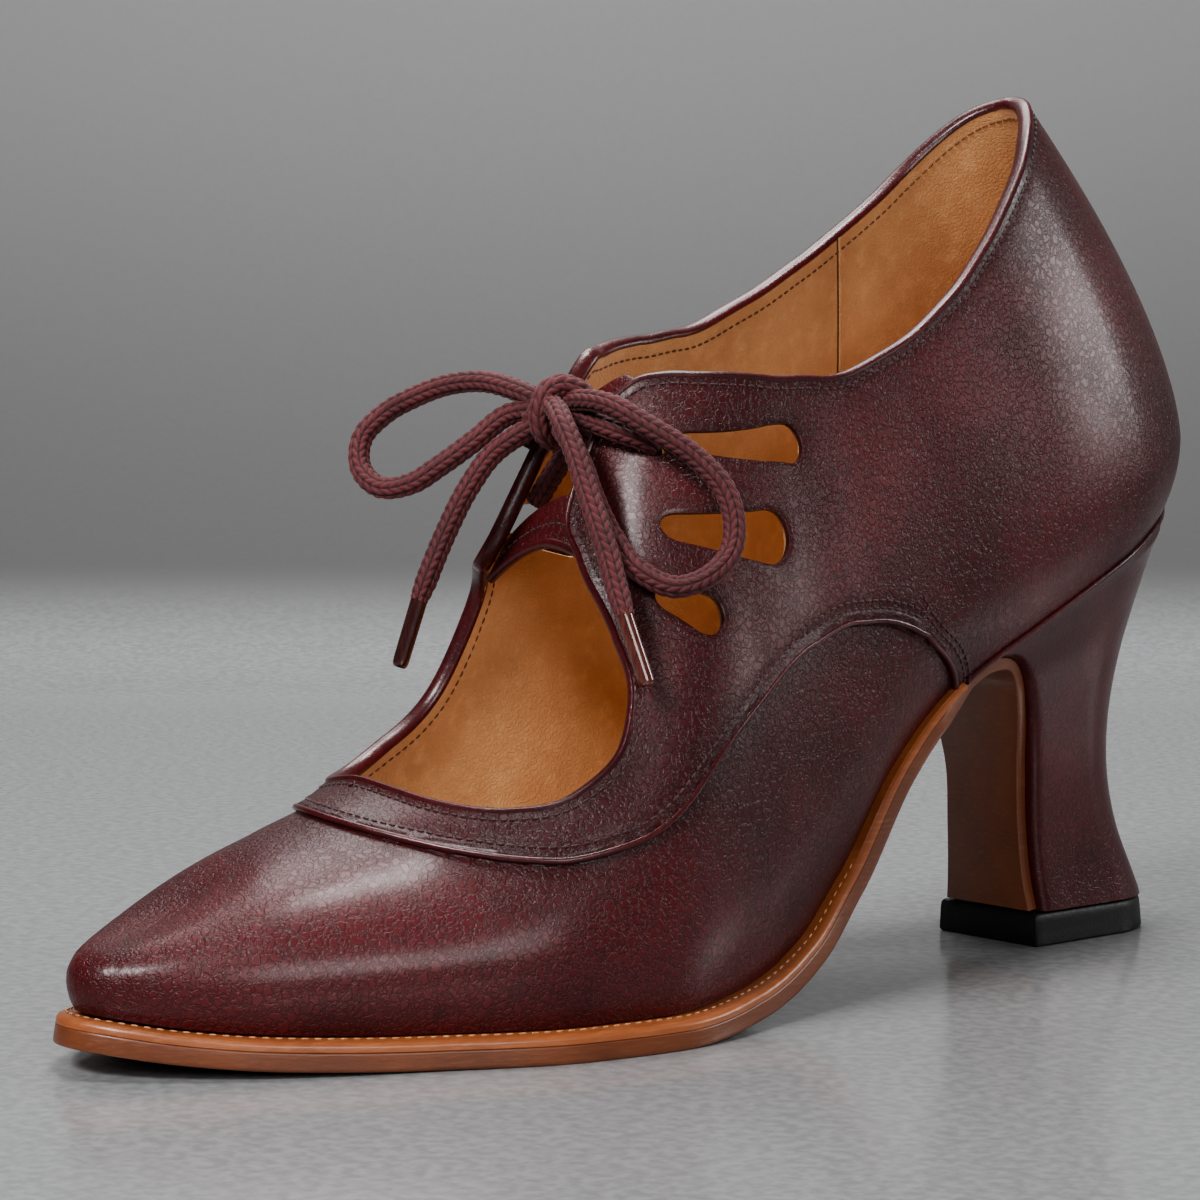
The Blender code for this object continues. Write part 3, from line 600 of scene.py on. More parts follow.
def teardrop(row):
    """Outline of a cut-out: two arcs of different radius with tangent sides, on the side elevation."""
    along, height, radius, front_along, front_height, front_radius = row
    lean = math.atan2(front_height - height, front_along - along)
    reach = math.hypot(front_along - along, front_height - height)
    tangent = math.acos((radius - front_radius) / reach)
    rear = np.linspace(lean + tangent, lean + 2 * math.pi - tangent, 30)
    front = np.linspace(lean - tangent, lean + tangent, 14)
    round_end = np.stack((along + radius * np.cos(rear), height + radius * np.sin(rear)), -1)
    small_end = np.stack((front_along + front_radius * np.cos(front),
                          front_height + front_radius * np.sin(front)), -1)
    under = np.linspace(round_end[-1], small_end[0], 16)[1:-1]
    over = np.linspace(small_end[-1], round_end[0], 16)[1:-1]
    xs, zs = np.concatenate((round_end, under, small_end, over)).T
    return chart(xs, up_at(xs, zs))


def cut_outs(side):
    """Outlines of the cut-outs in one side; the inner side has the first two."""
    return [teardrop(row) for row in (TEARDROPS if side > 0 else TEARDROPS[:INNER_TEARDROPS])]


def eyelet():
    along, height, radius = EYELET
    turn = np.linspace(0, 2 * math.pi, 24, endpoint=False)
    xs = along + radius * np.cos(turn)
    return chart(xs, up_at(xs, height + radius * np.sin(turn)))


def loop_evenly(loop, side, spacing):
    return evenly(np.vstack((loop, loop[:1])), side, spacing)[:-1]


def even_filler(side, spacing):
    """Points over a whole side of the chart: columns of evenly spread points, every second one staggered."""
    ladder = np.linspace(0, CHART_HEIGHT, 160)
    columns = []
    for number, x in enumerate(np.arange(spacing / 2, CHART_LENGTH, spacing * 0.87)):
        line = np.stack((np.full(len(ladder), x), ladder), -1)
        run = length_along(chart_place(line, side))
        at = np.arange(spacing * (0.5 + 0.5 * (number % 2)), run[-1], spacing)
        columns.append(np.stack((np.full(len(at), x), np.interp(at, run, ladder)), -1))
    return np.concatenate(columns)


def spaced_out(points, places, least):
    """Points that keep a distance from those kept before them."""
    cells = {}
    kept = []
    for point, place in zip(points, places):
        home = tuple((place // least).astype(int))
        near = (cells.get((home[0] + i, home[1] + j, home[2] + k), ())
                for i in (-1, 0, 1) for j in (-1, 0, 1) for k in (-1, 0, 1))
        if all(np.linalg.norm(place - other) > least for cell in near for other in cell):
            cells.setdefault(home, []).append(place)
            kept.append(point)
    return np.array(kept)


def side_net(side, spacing, lines, holes, collars):
    """Triangles of one side of the wall on the chart: its border, the lines and the rings round its holes
    that it follows, and points between them an even spacing apart on the last."""
    edge = evenly(edge_line(side), side, spacing * 0.8)
    corners = [(0, 0), edge[0], edge[-1], (CHART_LENGTH, CHART_HEIGHT), (CHART_LENGTH, 0)]
    straight = [np.linspace(corners[i], corners[j], 40) for i, j in ((0, 1), (2, 3), (3, 4), (4, 0))]
    heel_back, crest, toe_front, bottom = (evenly(line, side, spacing) for line in straight)
    border = np.concatenate([line[:-1] for line in (heel_back, edge, crest, toe_front, bottom)])
    points, edges = [], []
    rings = [(ring, True) for ring in [border] + holes + collars]
    for line, closed in rings + [(line, False) for line in lines]:
        start = len(points)
        points.extend(line)
        edges.extend((start + i, start + i + 1) for i in range(len(line) - 1))
        if closed:
            edges.append((start + len(line) - 1, start))
    filler = even_filler(side, spacing)
    filler = filler[inside(filler, border)]
    for hole in holes:
        filler = filler[~inside(filler, hole)]
    places = chart_place(filler, side)
    clear = distances(places, chart_place(np.array(points), side)) > spacing * 0.55
    filler = spaced_out(filler[clear], places[clear], spacing * 0.6)
    points = np.concatenate((points, filler))

    # The triangles are chosen on a chart where each rib has its true height.
    xs = np.linspace(0, CHART_LENGTH, 90)
    ladder = np.linspace(0, CHART_HEIGHT, 60)
    tall = [length_along(chart_place(np.stack((np.full(60, x), ladder), -1), side))[-1] for x in xs]

    def true(flat):
        return flat * np.stack((np.ones(len(flat)), np.interp(flat[:, 0], xs, tall) / CHART_HEIGHT), -1)

    verts, _, faces, _, _, _ = delaunay_2d_cdt([Vector(point) for point in true(points)], edges, [], 0, 1e-4)
    verts = np.array(verts)
    faces = np.array(faces)
    middles = verts[faces].mean(axis=1)
    keep = inside(middles, true(border))
    for hole in holes:
        keep &= ~inside(middles, true(hole))
    verts[:, 1] *= CHART_HEIGHT / np.interp(verts[:, 0], xs, tall)
    return verts, faces[keep]


def both_sides(net, relief):
    """Two nets joined at heel, toe and ridge, eased where the ribs meet on top of the toe. Gives points,
    normals, faces, open edges and the relief's own columns."""
    work = bmesh.new()
    foot_layer = work.verts.layers.int.new("foot")
    relief_layers = None
    for side in (1, -1):
        verts, faces = net(side)
        columns = relief(verts, side)
        if relief_layers is None:
            relief_layers = [work.verts.layers.float.new(f"relief{k}") for k in range(len(columns))]
        places = chart_place(verts, side)
        made = {}
        for i in np.unique(faces):
            vert = work.verts.new(places[i])
            vert[foot_layer] = int(verts[i, 1] < 1e-3)
            for layer, column in zip(relief_layers, columns):
                vert[layer] = column[i]
            made[i] = vert
        for face in faces:
            corners = [made[i] for i in face]
            work.faces.new(corners if side > 0 else corners[::-1])
    bmesh.ops.remove_doubles(work, verts=work.verts, dist=0.01)
    pole = Vector(rib(LENGTH, 1.0, 1))
    toe_top = {vert: vert.co.copy() for vert in work.verts if (vert.co - pole).length < TOE_SOFT_REACH}
    for _ in range(TOE_SOFT_STEPS):
        bmesh.ops.smooth_vert(work, verts=list(toe_top), factor=0.5, use_axis_x=True, use_axis_y=True,
                              use_axis_z=True)
    for vert, place in toe_top.items():
        move = vert.co - place
        vert.co = place + move * min(1, TOE_SOFT_MOST / max(move.length, TOE_SOFT_MOST))
    work.verts.index_update()
    work.normal_update()
    points = np.array([vert.co for vert in work.verts])
    normals = np.array([vert.normal for vert in work.verts])
    at_foot = np.array([vert[foot_layer] for vert in work.verts], bool)
    normals[at_foot, 2] = 0
    normals = unit(normals)
    values = [np.array([vert[layer] for vert in work.verts]) for layer in relief_layers]
    faces = [[vert.index for vert in face.verts] for face in work.faces]
    rim = [[vert.index for vert in edge.verts] for edge in work.edges if edge.is_boundary]
    work.free()
    return points, normals, faces, rim, values


def walled(outer, inner, faces, rim):
    """Points and faces of a wall between an outer and an inner face."""
    count = len(outer)
    walls = list(faces)
    walls += [[i + count for i in reversed(face)] for face in faces]
    walls += [(a, b, b + count, a + count) for a, b in rim]
    return np.concatenate((outer, inner)), walls


def upper_net(side):
    holes = [loop_evenly(hole, side, 0.8) for hole in cut_outs(side) + [eyelet()]]
    collars = []
    for hole in holes[:-1]:
        collars += [beside(hole, side, -share * HOLE_ROUND, True) for share in (0.3, 0.65, 1.0)]
    insets = (STEP_RUN * 2.2, STEP_RUN, 0, -1.1, 0.5 - STITCH_INSET, -STITCH_INSET, -0.5 - STITCH_INSET)
    lines = [evenly(seam_beside(side, inset), side, 1.3) for inset in insets]
    lines += [evenly(edge_beside(side, STITCH_INSET + shift), side, 1.3) for shift in (-0.5, 0, 0.5)]
    return side_net(side, UPPER_SPACING, lines, holes, collars)


def upper_relief(verts, side):
    """How far the outer face stands off the last, and how much painted shade darkens the leather near its
    edges, point by point.
    """
    places = chart_place(verts, side)
    seam = evenly(seam_beside(side, 0), side, 0.3)
    past = [(seam[-1, 0], -1), (CHART_LENGTH + 1, -1), (CHART_LENGTH + 1, 101), (seam[0, 0], 101)]
    on_vamp = inside(verts, np.concatenate((seam, past)))
    from_seam = distances(places, chart_place(seam, side))
    on_quarter = np.where(on_vamp, -from_seam, from_seam)
    from_edge = distances(places, chart_place(evenly(edge_line(side), side, 0.3), side))
    holes = np.concatenate([loop_evenly(hole, side, 0.2) for hole in cut_outs(side)])
    from_hole = distances(places, chart_place(holes, side))
    lift = np.interp(on_quarter, (-STEP_RUN, 0), (VAMP_RAISE, QUARTER_RAISE))
    for row in (on_quarter, from_edge):
        lift -= STITCH_TROUGH * np.exp(-((row - STITCH_INSET) / 0.55) ** 2)
    at_hole = np.clip(1 - from_hole / HOLE_ROUND, 0, 1) ** 2
    lift -= HOLE_TURN * at_hole
    # Painted shade: the colour is darkened beside the collar edge, the quarters' edge and the cut-outs.
    painted_edge_shade = np.exp(-from_edge / 5) + np.exp(-np.abs(on_quarter) / 4) + 0.8 * np.exp(-from_hole / 4)
    return lift, np.clip(painted_edge_shade, 0, 1), at_hole


def burgundy_leather(name, gloss, grain_depth, shade_attribute=None):
    """Waxed calf, dyed oxblood: cloudy colour, a fine crackled grain and a polished surface."""
    material, shader, place = finish(name, coat_roughness=0.25, specular_ior_level=0.35)
    clouds = noise(place, 26, 4.0)
    flecks = noise(place, 3.5, 4.0)
    tone = clouds.between(0.3, 0.7).mix(PLAIN_RED, BRIGHT_RED)
    tone = (flecks.between(0.5, 0.8) * 0.35).mix(tone, DEEP_RED)
    # Painted shade: where an attribute is given, the colour is darkened by it toward deep red.
    if shade_attribute:
        shade_strength = place.node("Attribute", {"attribute_name": shade_attribute}, None, "Fac")
        tone = (shade_strength * 0.5).mix(tone, DEEP_RED)
    grain = crackle(place, 1.45, 2.2)
    tone = ((1 - grain) * 0.38).mix(tone, DEEP_RED)
    join(tone, shader, "Base Color")
    join(0.36 - 0.13 * gloss + clouds * 0.12 + flecks * 0.08, shader, "Roughness")
    join(gloss * (0.35 + clouds.between(0.35, 0.75) * 0.4), shader, "Coat Weight")
    join(bump(place, grain + noise(place, 0.3) * 0.2 + flecks * 0.4, grain_depth), shader, "Normal")
    return material


upper_leather = burgundy_leather("upper_burgundy", 0.5, 0.08, "painted_edge_shade")

points, normals, faces, rim, (lift, painted_edge_shade, at_hole) = both_sides(upper_net, upper_relief)
outer_face = points + normals * lift[:, None]
inner_face = points - normals * (UPPER_DEPTH - HOLE_BEVEL * at_hole)[:, None]
shell = walled(outer_face, inner_face, faces, rim)
upper_shell = piece("upper_shell", *shell, upper_leather, "upper_leather", ["upper"], 60)
painted_edge_shade_layer = upper_shell.data.attributes.new("painted_edge_shade", "FLOAT", "POINT")
painted_edge_shade_layer.data.foreach_set("value", np.concatenate((painted_edge_shade, painted_edge_shade)))


# Lining: tan leather that backs the whole upper and shows at the collar, in the throat and through the
# cut-outs. It is pasted in and caught under the collar's binding, with its own holes cut a little wide.
LINING_TOP = UPPER_DEPTH + 0.08
LINING_SPACING = 3.0
HOLE_EASE = 0.9


def lining_net(side):
    holes = [beside(loop_evenly(hole, side, 1.2), side, -HOLE_EASE, True) for hole in cut_outs(side)]
    holes.append(loop_evenly(eyelet(), side, 1.0))
    return side_net(side, LINING_SPACING, [], holes, [])


def no_relief(verts, side):
    return ()


points, normals, faces, rim, _ = both_sides(lining_net, no_relief)
lining = walled(points - normals * LINING_TOP, points - normals * WALL, faces, rim)
piece("upper_lining", *lining, lining_leather, "lining_leather", (), 60)


# Binding: a strip of the same leather rolled round the raw edge of collar and throat, in one closed loop.
# A thinner corded edge finishes the quarters where they lie on the vamp.
BINDING_OUT = 1.45
BINDING_SIDE = 0.8
BINDING_DEPTH = 0.5
BINDING_INSET = 0.2
BEAD_HALF = 0.55
BEAD_SHIFT = 0.15
BEAD_PROUD = 0.12
BEAD_STEP = 0.9
SWEEP_SIDES = 14


def swept(centres, outs, half_out, half_side, closed):
    """Points and faces of an oval roll along a line, turned by the direction out of the surface."""
    if closed:
        run = unit(np.roll(centres, -1, axis=0) - np.roll(centres, 1, axis=0))
    else:
        run = unit(np.gradient(centres, axis=0))
    side = unit(np.cross(run, outs))
    outward = np.cross(side, run)
    turn = np.linspace(0, 2 * math.pi, SWEEP_SIDES, endpoint=False)
    rings = (centres[:, None] + outward[:, None] * (half_out * np.cos(turn))[None, :, None]
             + side[:, None] * (half_side * np.sin(turn))[None, :, None])
    return ringed(rings, closed)


def ringed(rings, closed):
    """Points and faces of a row of rings, with a flat cap on each end of an open row."""
    count, sides = rings.shape[:2]
    faces = []
    for r in range(count if closed else count - 1):
        low, high = r * sides, (r + 1) % count * sides
        for i in range(sides):
            j = (i + 1) % sides
            faces.append((low + i, low + j, high + j, high + i))
    if not closed:
        faces.append(list(range(sides)))
        faces.append(list(range((count - 1) * sides, count * sides)))
    return rings.reshape(-1, 3), faces


def both_ways(line_of, spacing, lift):
    """Points and normals up the outer side of a line and back down the inner side, on the wall."""
    centres, outs = [], []
    for side in (1, -1):
        line = evenly(line_of(side), side, spacing)
        normal = chart_normal(line, side)
        if side < 0:
            line, normal = line[-2::-1], normal[-2::-1]
        centres.append(chart_place(line, side) + normal * lift)
        outs.append(normal)
    return np.concatenate(centres), np.concatenate(outs)


def binding_line(side):
    return edge_beside(side, BINDING_INSET)


def seam_up(side):
    """The quarters' edge from the feather edge up to the ridge."""
    return seam_beside(side, BEAD_SHIFT)[::-1]


edge_leather = burgundy_leather("edge_burgundy", 1.0, 0.02)
centres, outs = both_ways(binding_line, BEAD_STEP, -BINDING_DEPTH)
binding = swept(centres[:-1], outs[:-1], BINDING_OUT, BINDING_SIDE, True)
piece("collar_binding", *binding, edge_leather, "upper_leather")
centres, outs = both_ways(seam_up, BEAD_STEP, QUARTER_RAISE - BEAD_HALF + BEAD_PROUD)
edge_cord = swept(centres, outs, BEAD_HALF, BEAD_HALF, False)
piece("quarter_edge_cord", *edge_cord, edge_leather, "upper_leather")


# Stitching of the upper: one row below the binding, one inside the quarters' edge with a second one over the
# arch, and one in the lining. Each stitch is a short plump thread pulled a little into the leather.
STITCH_PITCH = 1.6
STITCH_LENGTH = 1.25
STITCH_THICK = 0.42
STITCH_PROUD = 0.06
ARCH_ROW_STEP = 1.15
ARCH_FRONT = 112
LINING_ROW_STEP = 0.9
LINING_ROW_LIFT = -WALL - 0.03


def stitch_tree():
    """Node tree that lays one stitch on each point, along its "run" and flat to its "out"."""
    tree = bpy.data.node_groups.new("stitch_row", "GeometryNodeTree")
    kinds = {"Geometry": "Geometry", "Length": "Float", "Thickness": "Float", "Thread": "Material"}
    for label, kind in kinds.items():
        tree.interface.new_socket(label, in_out="INPUT", socket_type="NodeSocket" + kind)
    tree.interface.new_socket("Geometry", in_out="OUTPUT", socket_type="NodeSocketGeometry")

    def node(kind, settings=None, links=None):
        made = tree.nodes.new(kind)
        for key, value in (settings or {}).items():
            setattr(made, key, value)
        for key, value in (links or {}).items():
            if isinstance(value, bpy.types.NodeSocket):
                tree.links.new(value, made.inputs[key])
            else:
                made.inputs[key].default_value = value
        return made.outputs

    given = node("NodeGroupInput")
    thread = node("GeometryNodeMeshUVSphere", None, {"Segments": 8, "Rings": 6, "Radius": 0.5})
    sides = {"X": given["Length"], "Y": given["Thickness"], "Z": given["Thickness"]}
    size = node("ShaderNodeCombineXYZ", None, sides)
    stitch = node("GeometryNodeTransform", None, {"Geometry": thread["Mesh"], "Scale": size[0]})
    vector = {"data_type": "FLOAT_VECTOR"}
    run = node("GeometryNodeInputNamedAttribute", vector, {"Name": "run"})
    out = node("GeometryNodeInputNamedAttribute", vector, {"Name": "out"})
    along = node("FunctionNodeAlignRotationToVector", {"axis": "X"}, {"Vector": run[0]})
    turned = {"axis": "Z", "pivot_axis": "X"}
    laid = node("FunctionNodeAlignRotationToVector", turned, {"Rotation": along[0], "Vector": out[0]})
    placed = {"Points": given["Geometry"], "Instance": stitch[0], "Rotation": laid[0]}
    sewn = node("GeometryNodeInstanceOnPoints", None, placed)
    real = node("GeometryNodeRealizeInstances", None, {"Geometry": sewn[0]})
    rounded = node("GeometryNodeSetShadeSmooth", None, {"Geometry": real[0]})
    finished = node("GeometryNodeSetMaterial", None, {"Geometry": rounded[0], "Material": given["Thread"]})
    node("NodeGroupOutput", None, {"Geometry": finished[0]})
    return tree


stitch_row = stitch_tree()


def sewing(name, rows, length, thickness, thread):
    """Rows of stitches as one mesh. A row is its stitches' centres, runs and outward directions."""
    centres, runs, outs = (np.concatenate(columns) for columns in zip(*rows))
    mesh = bpy.data.meshes.new(name)
    mesh.from_pydata(world(centres).tolist(), [], [])
    for label, vectors in (("run", runs), ("out", outs)):
        layer = mesh.attributes.new(label, "FLOAT_VECTOR", "POINT")
        layer.data.foreach_set("vector", (vectors * (1, -1, 1)).ravel())
    obj = bpy.data.objects.new(name, mesh)
    bpy.context.scene.collection.objects.link(obj)
    modifier = obj.modifiers.new("stitches", "NODES")
    modifier.node_group = stitch_row
    sizes = {"Length": length * MM, "Thickness": thickness * MM, "Thread": thread}
    for socket in stitch_row.interface.items_tree:
        if socket.in_out == "INPUT" and socket.name in sizes:
            modifier[socket.identifier] = sizes[socket.name]
    graph = bpy.context.evaluated_depsgraph_get()
    obj.data = bpy.data.meshes.new_from_object(obj.evaluated_get(graph))
    obj.modifiers.clear()
    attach(obj, "root")
    return obj


def stitches_on(line, side, lift, pitch):
    """Row of stitches along a line of the chart, at a height over the last."""
    line = evenly(line, side, pitch)
    outs = chart_normal(line, side)
    centres = chart_place(line, side) + outs * lift
    return centres, unit(np.gradient(centres, axis=0)), outs


def row_along(line, outs, start, pitch):
    """Row of stitches along a line in space, from a start on it, with its outward directions."""
    run = length_along(line)
    at = np.arange(start, run[-1], pitch)
    centres = np.stack([np.interp(at, run, line[:, k]) for k in range(3)], -1)
    turned = np.stack([np.interp(at, run, outs[:, k]) for k in range(3)], -1)
    return centres, unit(np.gradient(centres, axis=0)), unit(turned)


def thread_finish(name, tone, shade):
    """Waxed thread: a little sheen, lighter where the strands catch the light."""
    material, shader, place = finish(name, roughness=0.55, sheen_weight=0.2)
    join(noise(place, 0.5).between(0.3, 0.7).mix(shade, tone), shader, "Base Color")
    return material


red_thread = thread_finish("burgundy_thread", (0.075, 0.014, 0.017), (0.018, 0.004, 0.005))
tan_thread = thread_finish("tan_thread", (0.20, 0.075, 0.018), (0.09, 0.03, 0.008))

stitch_lift = QUARTER_RAISE - STITCH_TROUGH + STITCH_PROUD
rows = []
for side in (1, -1):
    rows.append(stitches_on(edge_beside(side, STITCH_INSET), side, stitch_lift, STITCH_PITCH))
    rows.append(stitches_on(seam_beside(side, -STITCH_INSET), side, stitch_lift, STITCH_PITCH))
    arch_row = seam_beside(side, -STITCH_INSET - ARCH_ROW_STEP)
    arch_row = arch_row[chart_along(arch_row) < ARCH_FRONT]
    rows.append(stitches_on(arch_row, side, QUARTER_RAISE + STITCH_PROUD, STITCH_PITCH))
sewing("upper_stitches", rows, STITCH_LENGTH, STITCH_THICK, red_thread)
rows = []
for side in (1, -1):
    lining_row = edge_beside(side, STITCH_INSET + LINING_ROW_STEP)
    rows.append(stitches_on(lining_row, side, LINING_ROW_LIFT, STITCH_PITCH))
sewing("lining_stitches", rows, STITCH_LENGTH, STITCH_THICK, tan_thread)


# Lining seam: the heel's lining is sewn to the front lining in an upright seam on the inner side. One edge
# is folded over the other, so a thin fold stands beside a groove, whose shade is painted on a thin dark
# strip.
LINING_SEAM = np.array([
    # along, up
    (50.4, 0.534),
    (52.3, 0.395),
    (55.0, 0.2),
])
SEAM_FOLD = {"shift": -0.45, "half_out": 0.28, "half_side": 0.4}
SEAM_SHADE_STRIP = {"shift": 0.2, "half_out": 0.08, "half_side": 0.3}


def lining_seam(shift, half_out, half_side):
    """Narrow roll down the lining's face, on the inner side of the shoe."""
    line = through(chart(LINING_SEAM[:, 0], LINING_SEAM[:, 1]), 1.0) + (shift, 0)
    outs = -chart_normal(line, -1)
    return swept(chart_place(line, -1) + outs * WALL, outs, half_out, half_side, False)


# Painted shade: a thin strip in dark tan lies where the groove's shade would be.
shade_tones = ((0.10, 0.04, 0.016), (0.13, 0.055, 0.022), (0.18, 0.08, 0.035))
groove_painted_shade = tan_leather("lining_seam_shade", *shade_tones, 0.1)
piece("lining_seam_fold", *lining_seam(**SEAM_FOLD), lining_leather, "lining_leather", (), 60)
piece("lining_seam_painted_shade_strip", *lining_seam(**SEAM_SHADE_STRIP), groove_painted_shade, "lining_leather", (), 60)


# Bars: two short straps of upper leather that cross the throat under the facings, in place of a tongue. The
# lower one has its front edge rolled over and stitched down. Each has its first and last rib, how far down
# the sides it reaches, and how much of the last's rise it follows from there.
LOWER_BAR = (137.0, 140.6, 0.7, 0.6)
UPPER_BAR = (126.9, 129.7, 0.73, 0.45)
BAR_THICK = 1.2
BAR_DEPTH = WALL + 1.5 * GAP
BAR_TOP = 0.985
BAR_ROLL = 0.85
BAR_ROLL_BACK = 0.2
BAR_STITCH_BACK = 1.5
BAR_STITCH_START = 0.5
BAR_STITCH_PROUD = 0.05


def bar_point(along, up, side, depth):
    """Point under the last's surface. On the ridge itself the strap goes straight over."""
    up = np.minimum(up, BAR_TOP)
    return rib(along, up, side) - last_normal(along, up, side) * depth


def bar_strip(bar, along, depth):
    """Line across a strap from its outer to its inner end, and its outward directions."""
    _, _, low, crown = bar
    ups = np.linspace(low, BAR_TOP, 26)
    outer = np.array([bar_point(along, u, 1, depth) for u in ups])
    inner = np.array([bar_point(along, u, -1, depth) for u in ups])
    line = np.concatenate((outer, inner[::-1]))
    line[:, 2] = line[0, 2] + (line[:, 2] - line[0, 2]) * crown
    outer_out = np.array([last_normal(along, u, 1) for u in ups])
    inner_out = np.array([last_normal(along, u, -1) for u in ups])
    return line, np.concatenate((outer_out, inner_out[::-1]))


def strap(bar):
    """Strap as rings round its section, with its long edges rounded."""
    first, last = bar[:2]
    half = BAR_THICK / 2
    turn = np.linspace(0, 2 * math.pi, 20, endpoint=False)
    flat = np.sign(np.cos(turn)) * np.abs(np.cos(turn)) ** 0.35
    thin = np.sign(np.sin(turn)) * np.abs(np.sin(turn)) ** 0.6
    sections = []
    for x, z in zip(flat, thin):
        along = (first + last) / 2 + (last - first) / 2 * x
        sections.append(bar_strip(bar, along, BAR_DEPTH + half - half * z)[0])
    return ringed(np.stack(sections, axis=1), False)


piece("lower_strap", *strap(LOWER_BAR), upper_leather, "upper_leather", ["tongue_bar_lower"], 60)
piece("upper_strap", *strap(UPPER_BAR), upper_leather, "upper_leather", ["tongue_bar_upper"], 60)
bar_front = LOWER_BAR[1]
roll_line, roll_out = bar_strip(LOWER_BAR, bar_front - BAR_ROLL_BACK, BAR_DEPTH + BAR_THICK / 2)
strap_roll = swept(roll_line, roll_out, BAR_ROLL, BAR_ROLL, False)
piece("lower_strap_roll", *strap_roll, edge_leather, "upper_leather")
strap_line, strap_out = bar_strip(LOWER_BAR, bar_front - BAR_STITCH_BACK, BAR_DEPTH)
strap_line = strap_line + strap_out * BAR_STITCH_PROUD
strap_row = row_along(strap_line, strap_out, BAR_STITCH_START, STITCH_PITCH)
sewing("strap_stitches", [strap_row], STITCH_LENGTH, STITCH_THICK, red_thread)


# Welt: a strip of light sole leather sewn round the foot, its upper edge bevelled and burnished to a bright
# line. Fine pale stitches run along it close to the upper.
SOLE = np.array([
    # along, edge, welt, outsole
    (60, 0.9, 1.2, 2.0),
    (75, 1.1, 1.2, 2.2),
    (98, 1.8, 1.4, 2.5),
    (120, 2.6, 1.6, 2.6),
    (143, 3.4, 1.6, 2.6),
    (160, 3.2, 1.6, 2.6),
    (200, 2.8, 1.6, 2.6),
    (LENGTH, 2.0, 1.6, 2.6),
])
WELT_BACK = 66.9
WELT_STITCH_BACK = 96
WELT_STITCH_OUT = 0.75
WELT_STITCH_PITCH = 1.9
WELT_STITCH_LENGTH = 1.2
WELT_STITCH_THICK = 0.3
WELT_PROFILE = (
    # inset from the edge, share of the thickness
    (0.1, 1.0),
    (0.0, 0.93),
    (0.0, 0.55),
    (0.06, 0.40),
    (0.26, 0.22),
    (0.60, 0.09),
    (1.05, 0.0),
)
sole_edge = smooth(SOLE[:, 0], SOLE[:, 1])
welt_thick = smooth(SOLE[:, 0], SOLE[:, 2])
outsole_thick = smooth(SOLE[:, 0], SOLE[:, 3])


def sole_leather(name, deep, plain, pale, roughness):
    """Oak-bark sole leather, its edge trimmed, stained and waxed: faint lengthwise fibre, a soft polish."""
    material, shader, place = finish(name, coat_roughness=0.25, coat_weight=0.3)
    clouds = noise(place, 14, 4.0)
    fibre = place.node("Mapping", None, {"Vector": place, "Scale": (1.0, 0.25, 3.0)})
    streaks = noise(fibre, 1.6, 4.0)
    tone = clouds.between(0.3, 0.7).mix(deep, plain)
    tone = (streaks.between(0.45, 0.8) * 0.5).mix(tone, pale)
    join(tone, shader, "Base Color")
    join(roughness + streaks * 0.2, shader, "Roughness")
    join(bump(place, streaks + noise(place, 0.3) * 0.4, 0.06), shader, "Normal")
    return material


welt_leather = sole_leather("welt_tan", (0.27, 0.080, 0.028), (0.36, 0.116, 0.042), (0.47, 0.175, 0.07), 0.3)
welt_ribs = ribs_between(WELT_BACK, LENGTH, 150)
welt_rows = []
for inset, share in WELT_PROFILE:
    offset = sole_edge(welt_ribs) - np.minimum(inset, sole_edge(welt_ribs) * 0.45)
    welt_rows.append(around(*feather_row(welt_ribs, offset, GAP + welt_thick(welt_ribs) * share)))
piece("welt_strip", *layered(welt_rows, False), welt_leather, "welt_leather", ["welt"])

pale_thread = thread_finish("welt_thread", (0.66, 0.34, 0.15), (0.42, 0.17, 0.06))
stitch_ribs = ribs_between(WELT_STITCH_BACK, LENGTH, 400)
stitch_out = np.minimum(WELT_STITCH_OUT, sole_edge(stitch_ribs) * 0.4)
stitch_path = around(*feather_row(stitch_ribs, stitch_out, GAP - 0.1))
upward = np.tile((0.0, 0.0, 1.0), (len(stitch_path), 1))
welt_row = row_along(stitch_path, upward, 0, WELT_STITCH_PITCH)
sewing("welt_stitches", [welt_row], WELT_STITCH_LENGTH, WELT_STITCH_THICK, pale_thread)


# Outsole: thicker sole leather under the welt, from the toe through the waist, and on down the breast of the
# heel as a thinned flap that is pasted to the heel block.
WAIST_BACK = 73.0
SOLE_SEAM = 0.04
BREAST = np.array([
    # along, height, half width, heel half width, back along, back height
    (37.9, 6.4, 10.0, 11.7, 3.9, 6.4),
    (38.4, 10.0, 9.4, 11.2, 5.6, 10.0),
    (39.3, 20.0, 8.7, 10.6, 10.2, 19.5),
    (40.0, 32.0, 8.9, 10.9, 12.9, 30.5),
    (42.0, 41.5, 10.8, 12.4, 12.9, 41.5),
    (44.6, 47.2, 12.6, 14.0, 11.2, 51.0),
    (48.5, 50.0, 15.0, 16.2, 9.0, 60.0),
    (54.0, 51.2, 17.8, 18.6, 7.2, 67.5),
    (60.5, 50.7, 19.8, 20.2, 5.8, 73.0),
    (65.5, 49.0, 21.2, 21.4, 4.7, 76.5),
])
OUTSOLE_PROFILE = (
    # inset from the edge, share of the thickness
    (0.14, 0.0),
    (0.03, 0.04),
    (0.0, 0.1),
    (0.0, 0.72),
    (0.05, 0.90),
    (0.16, 0.97),
    (0.34, 1.0),
)


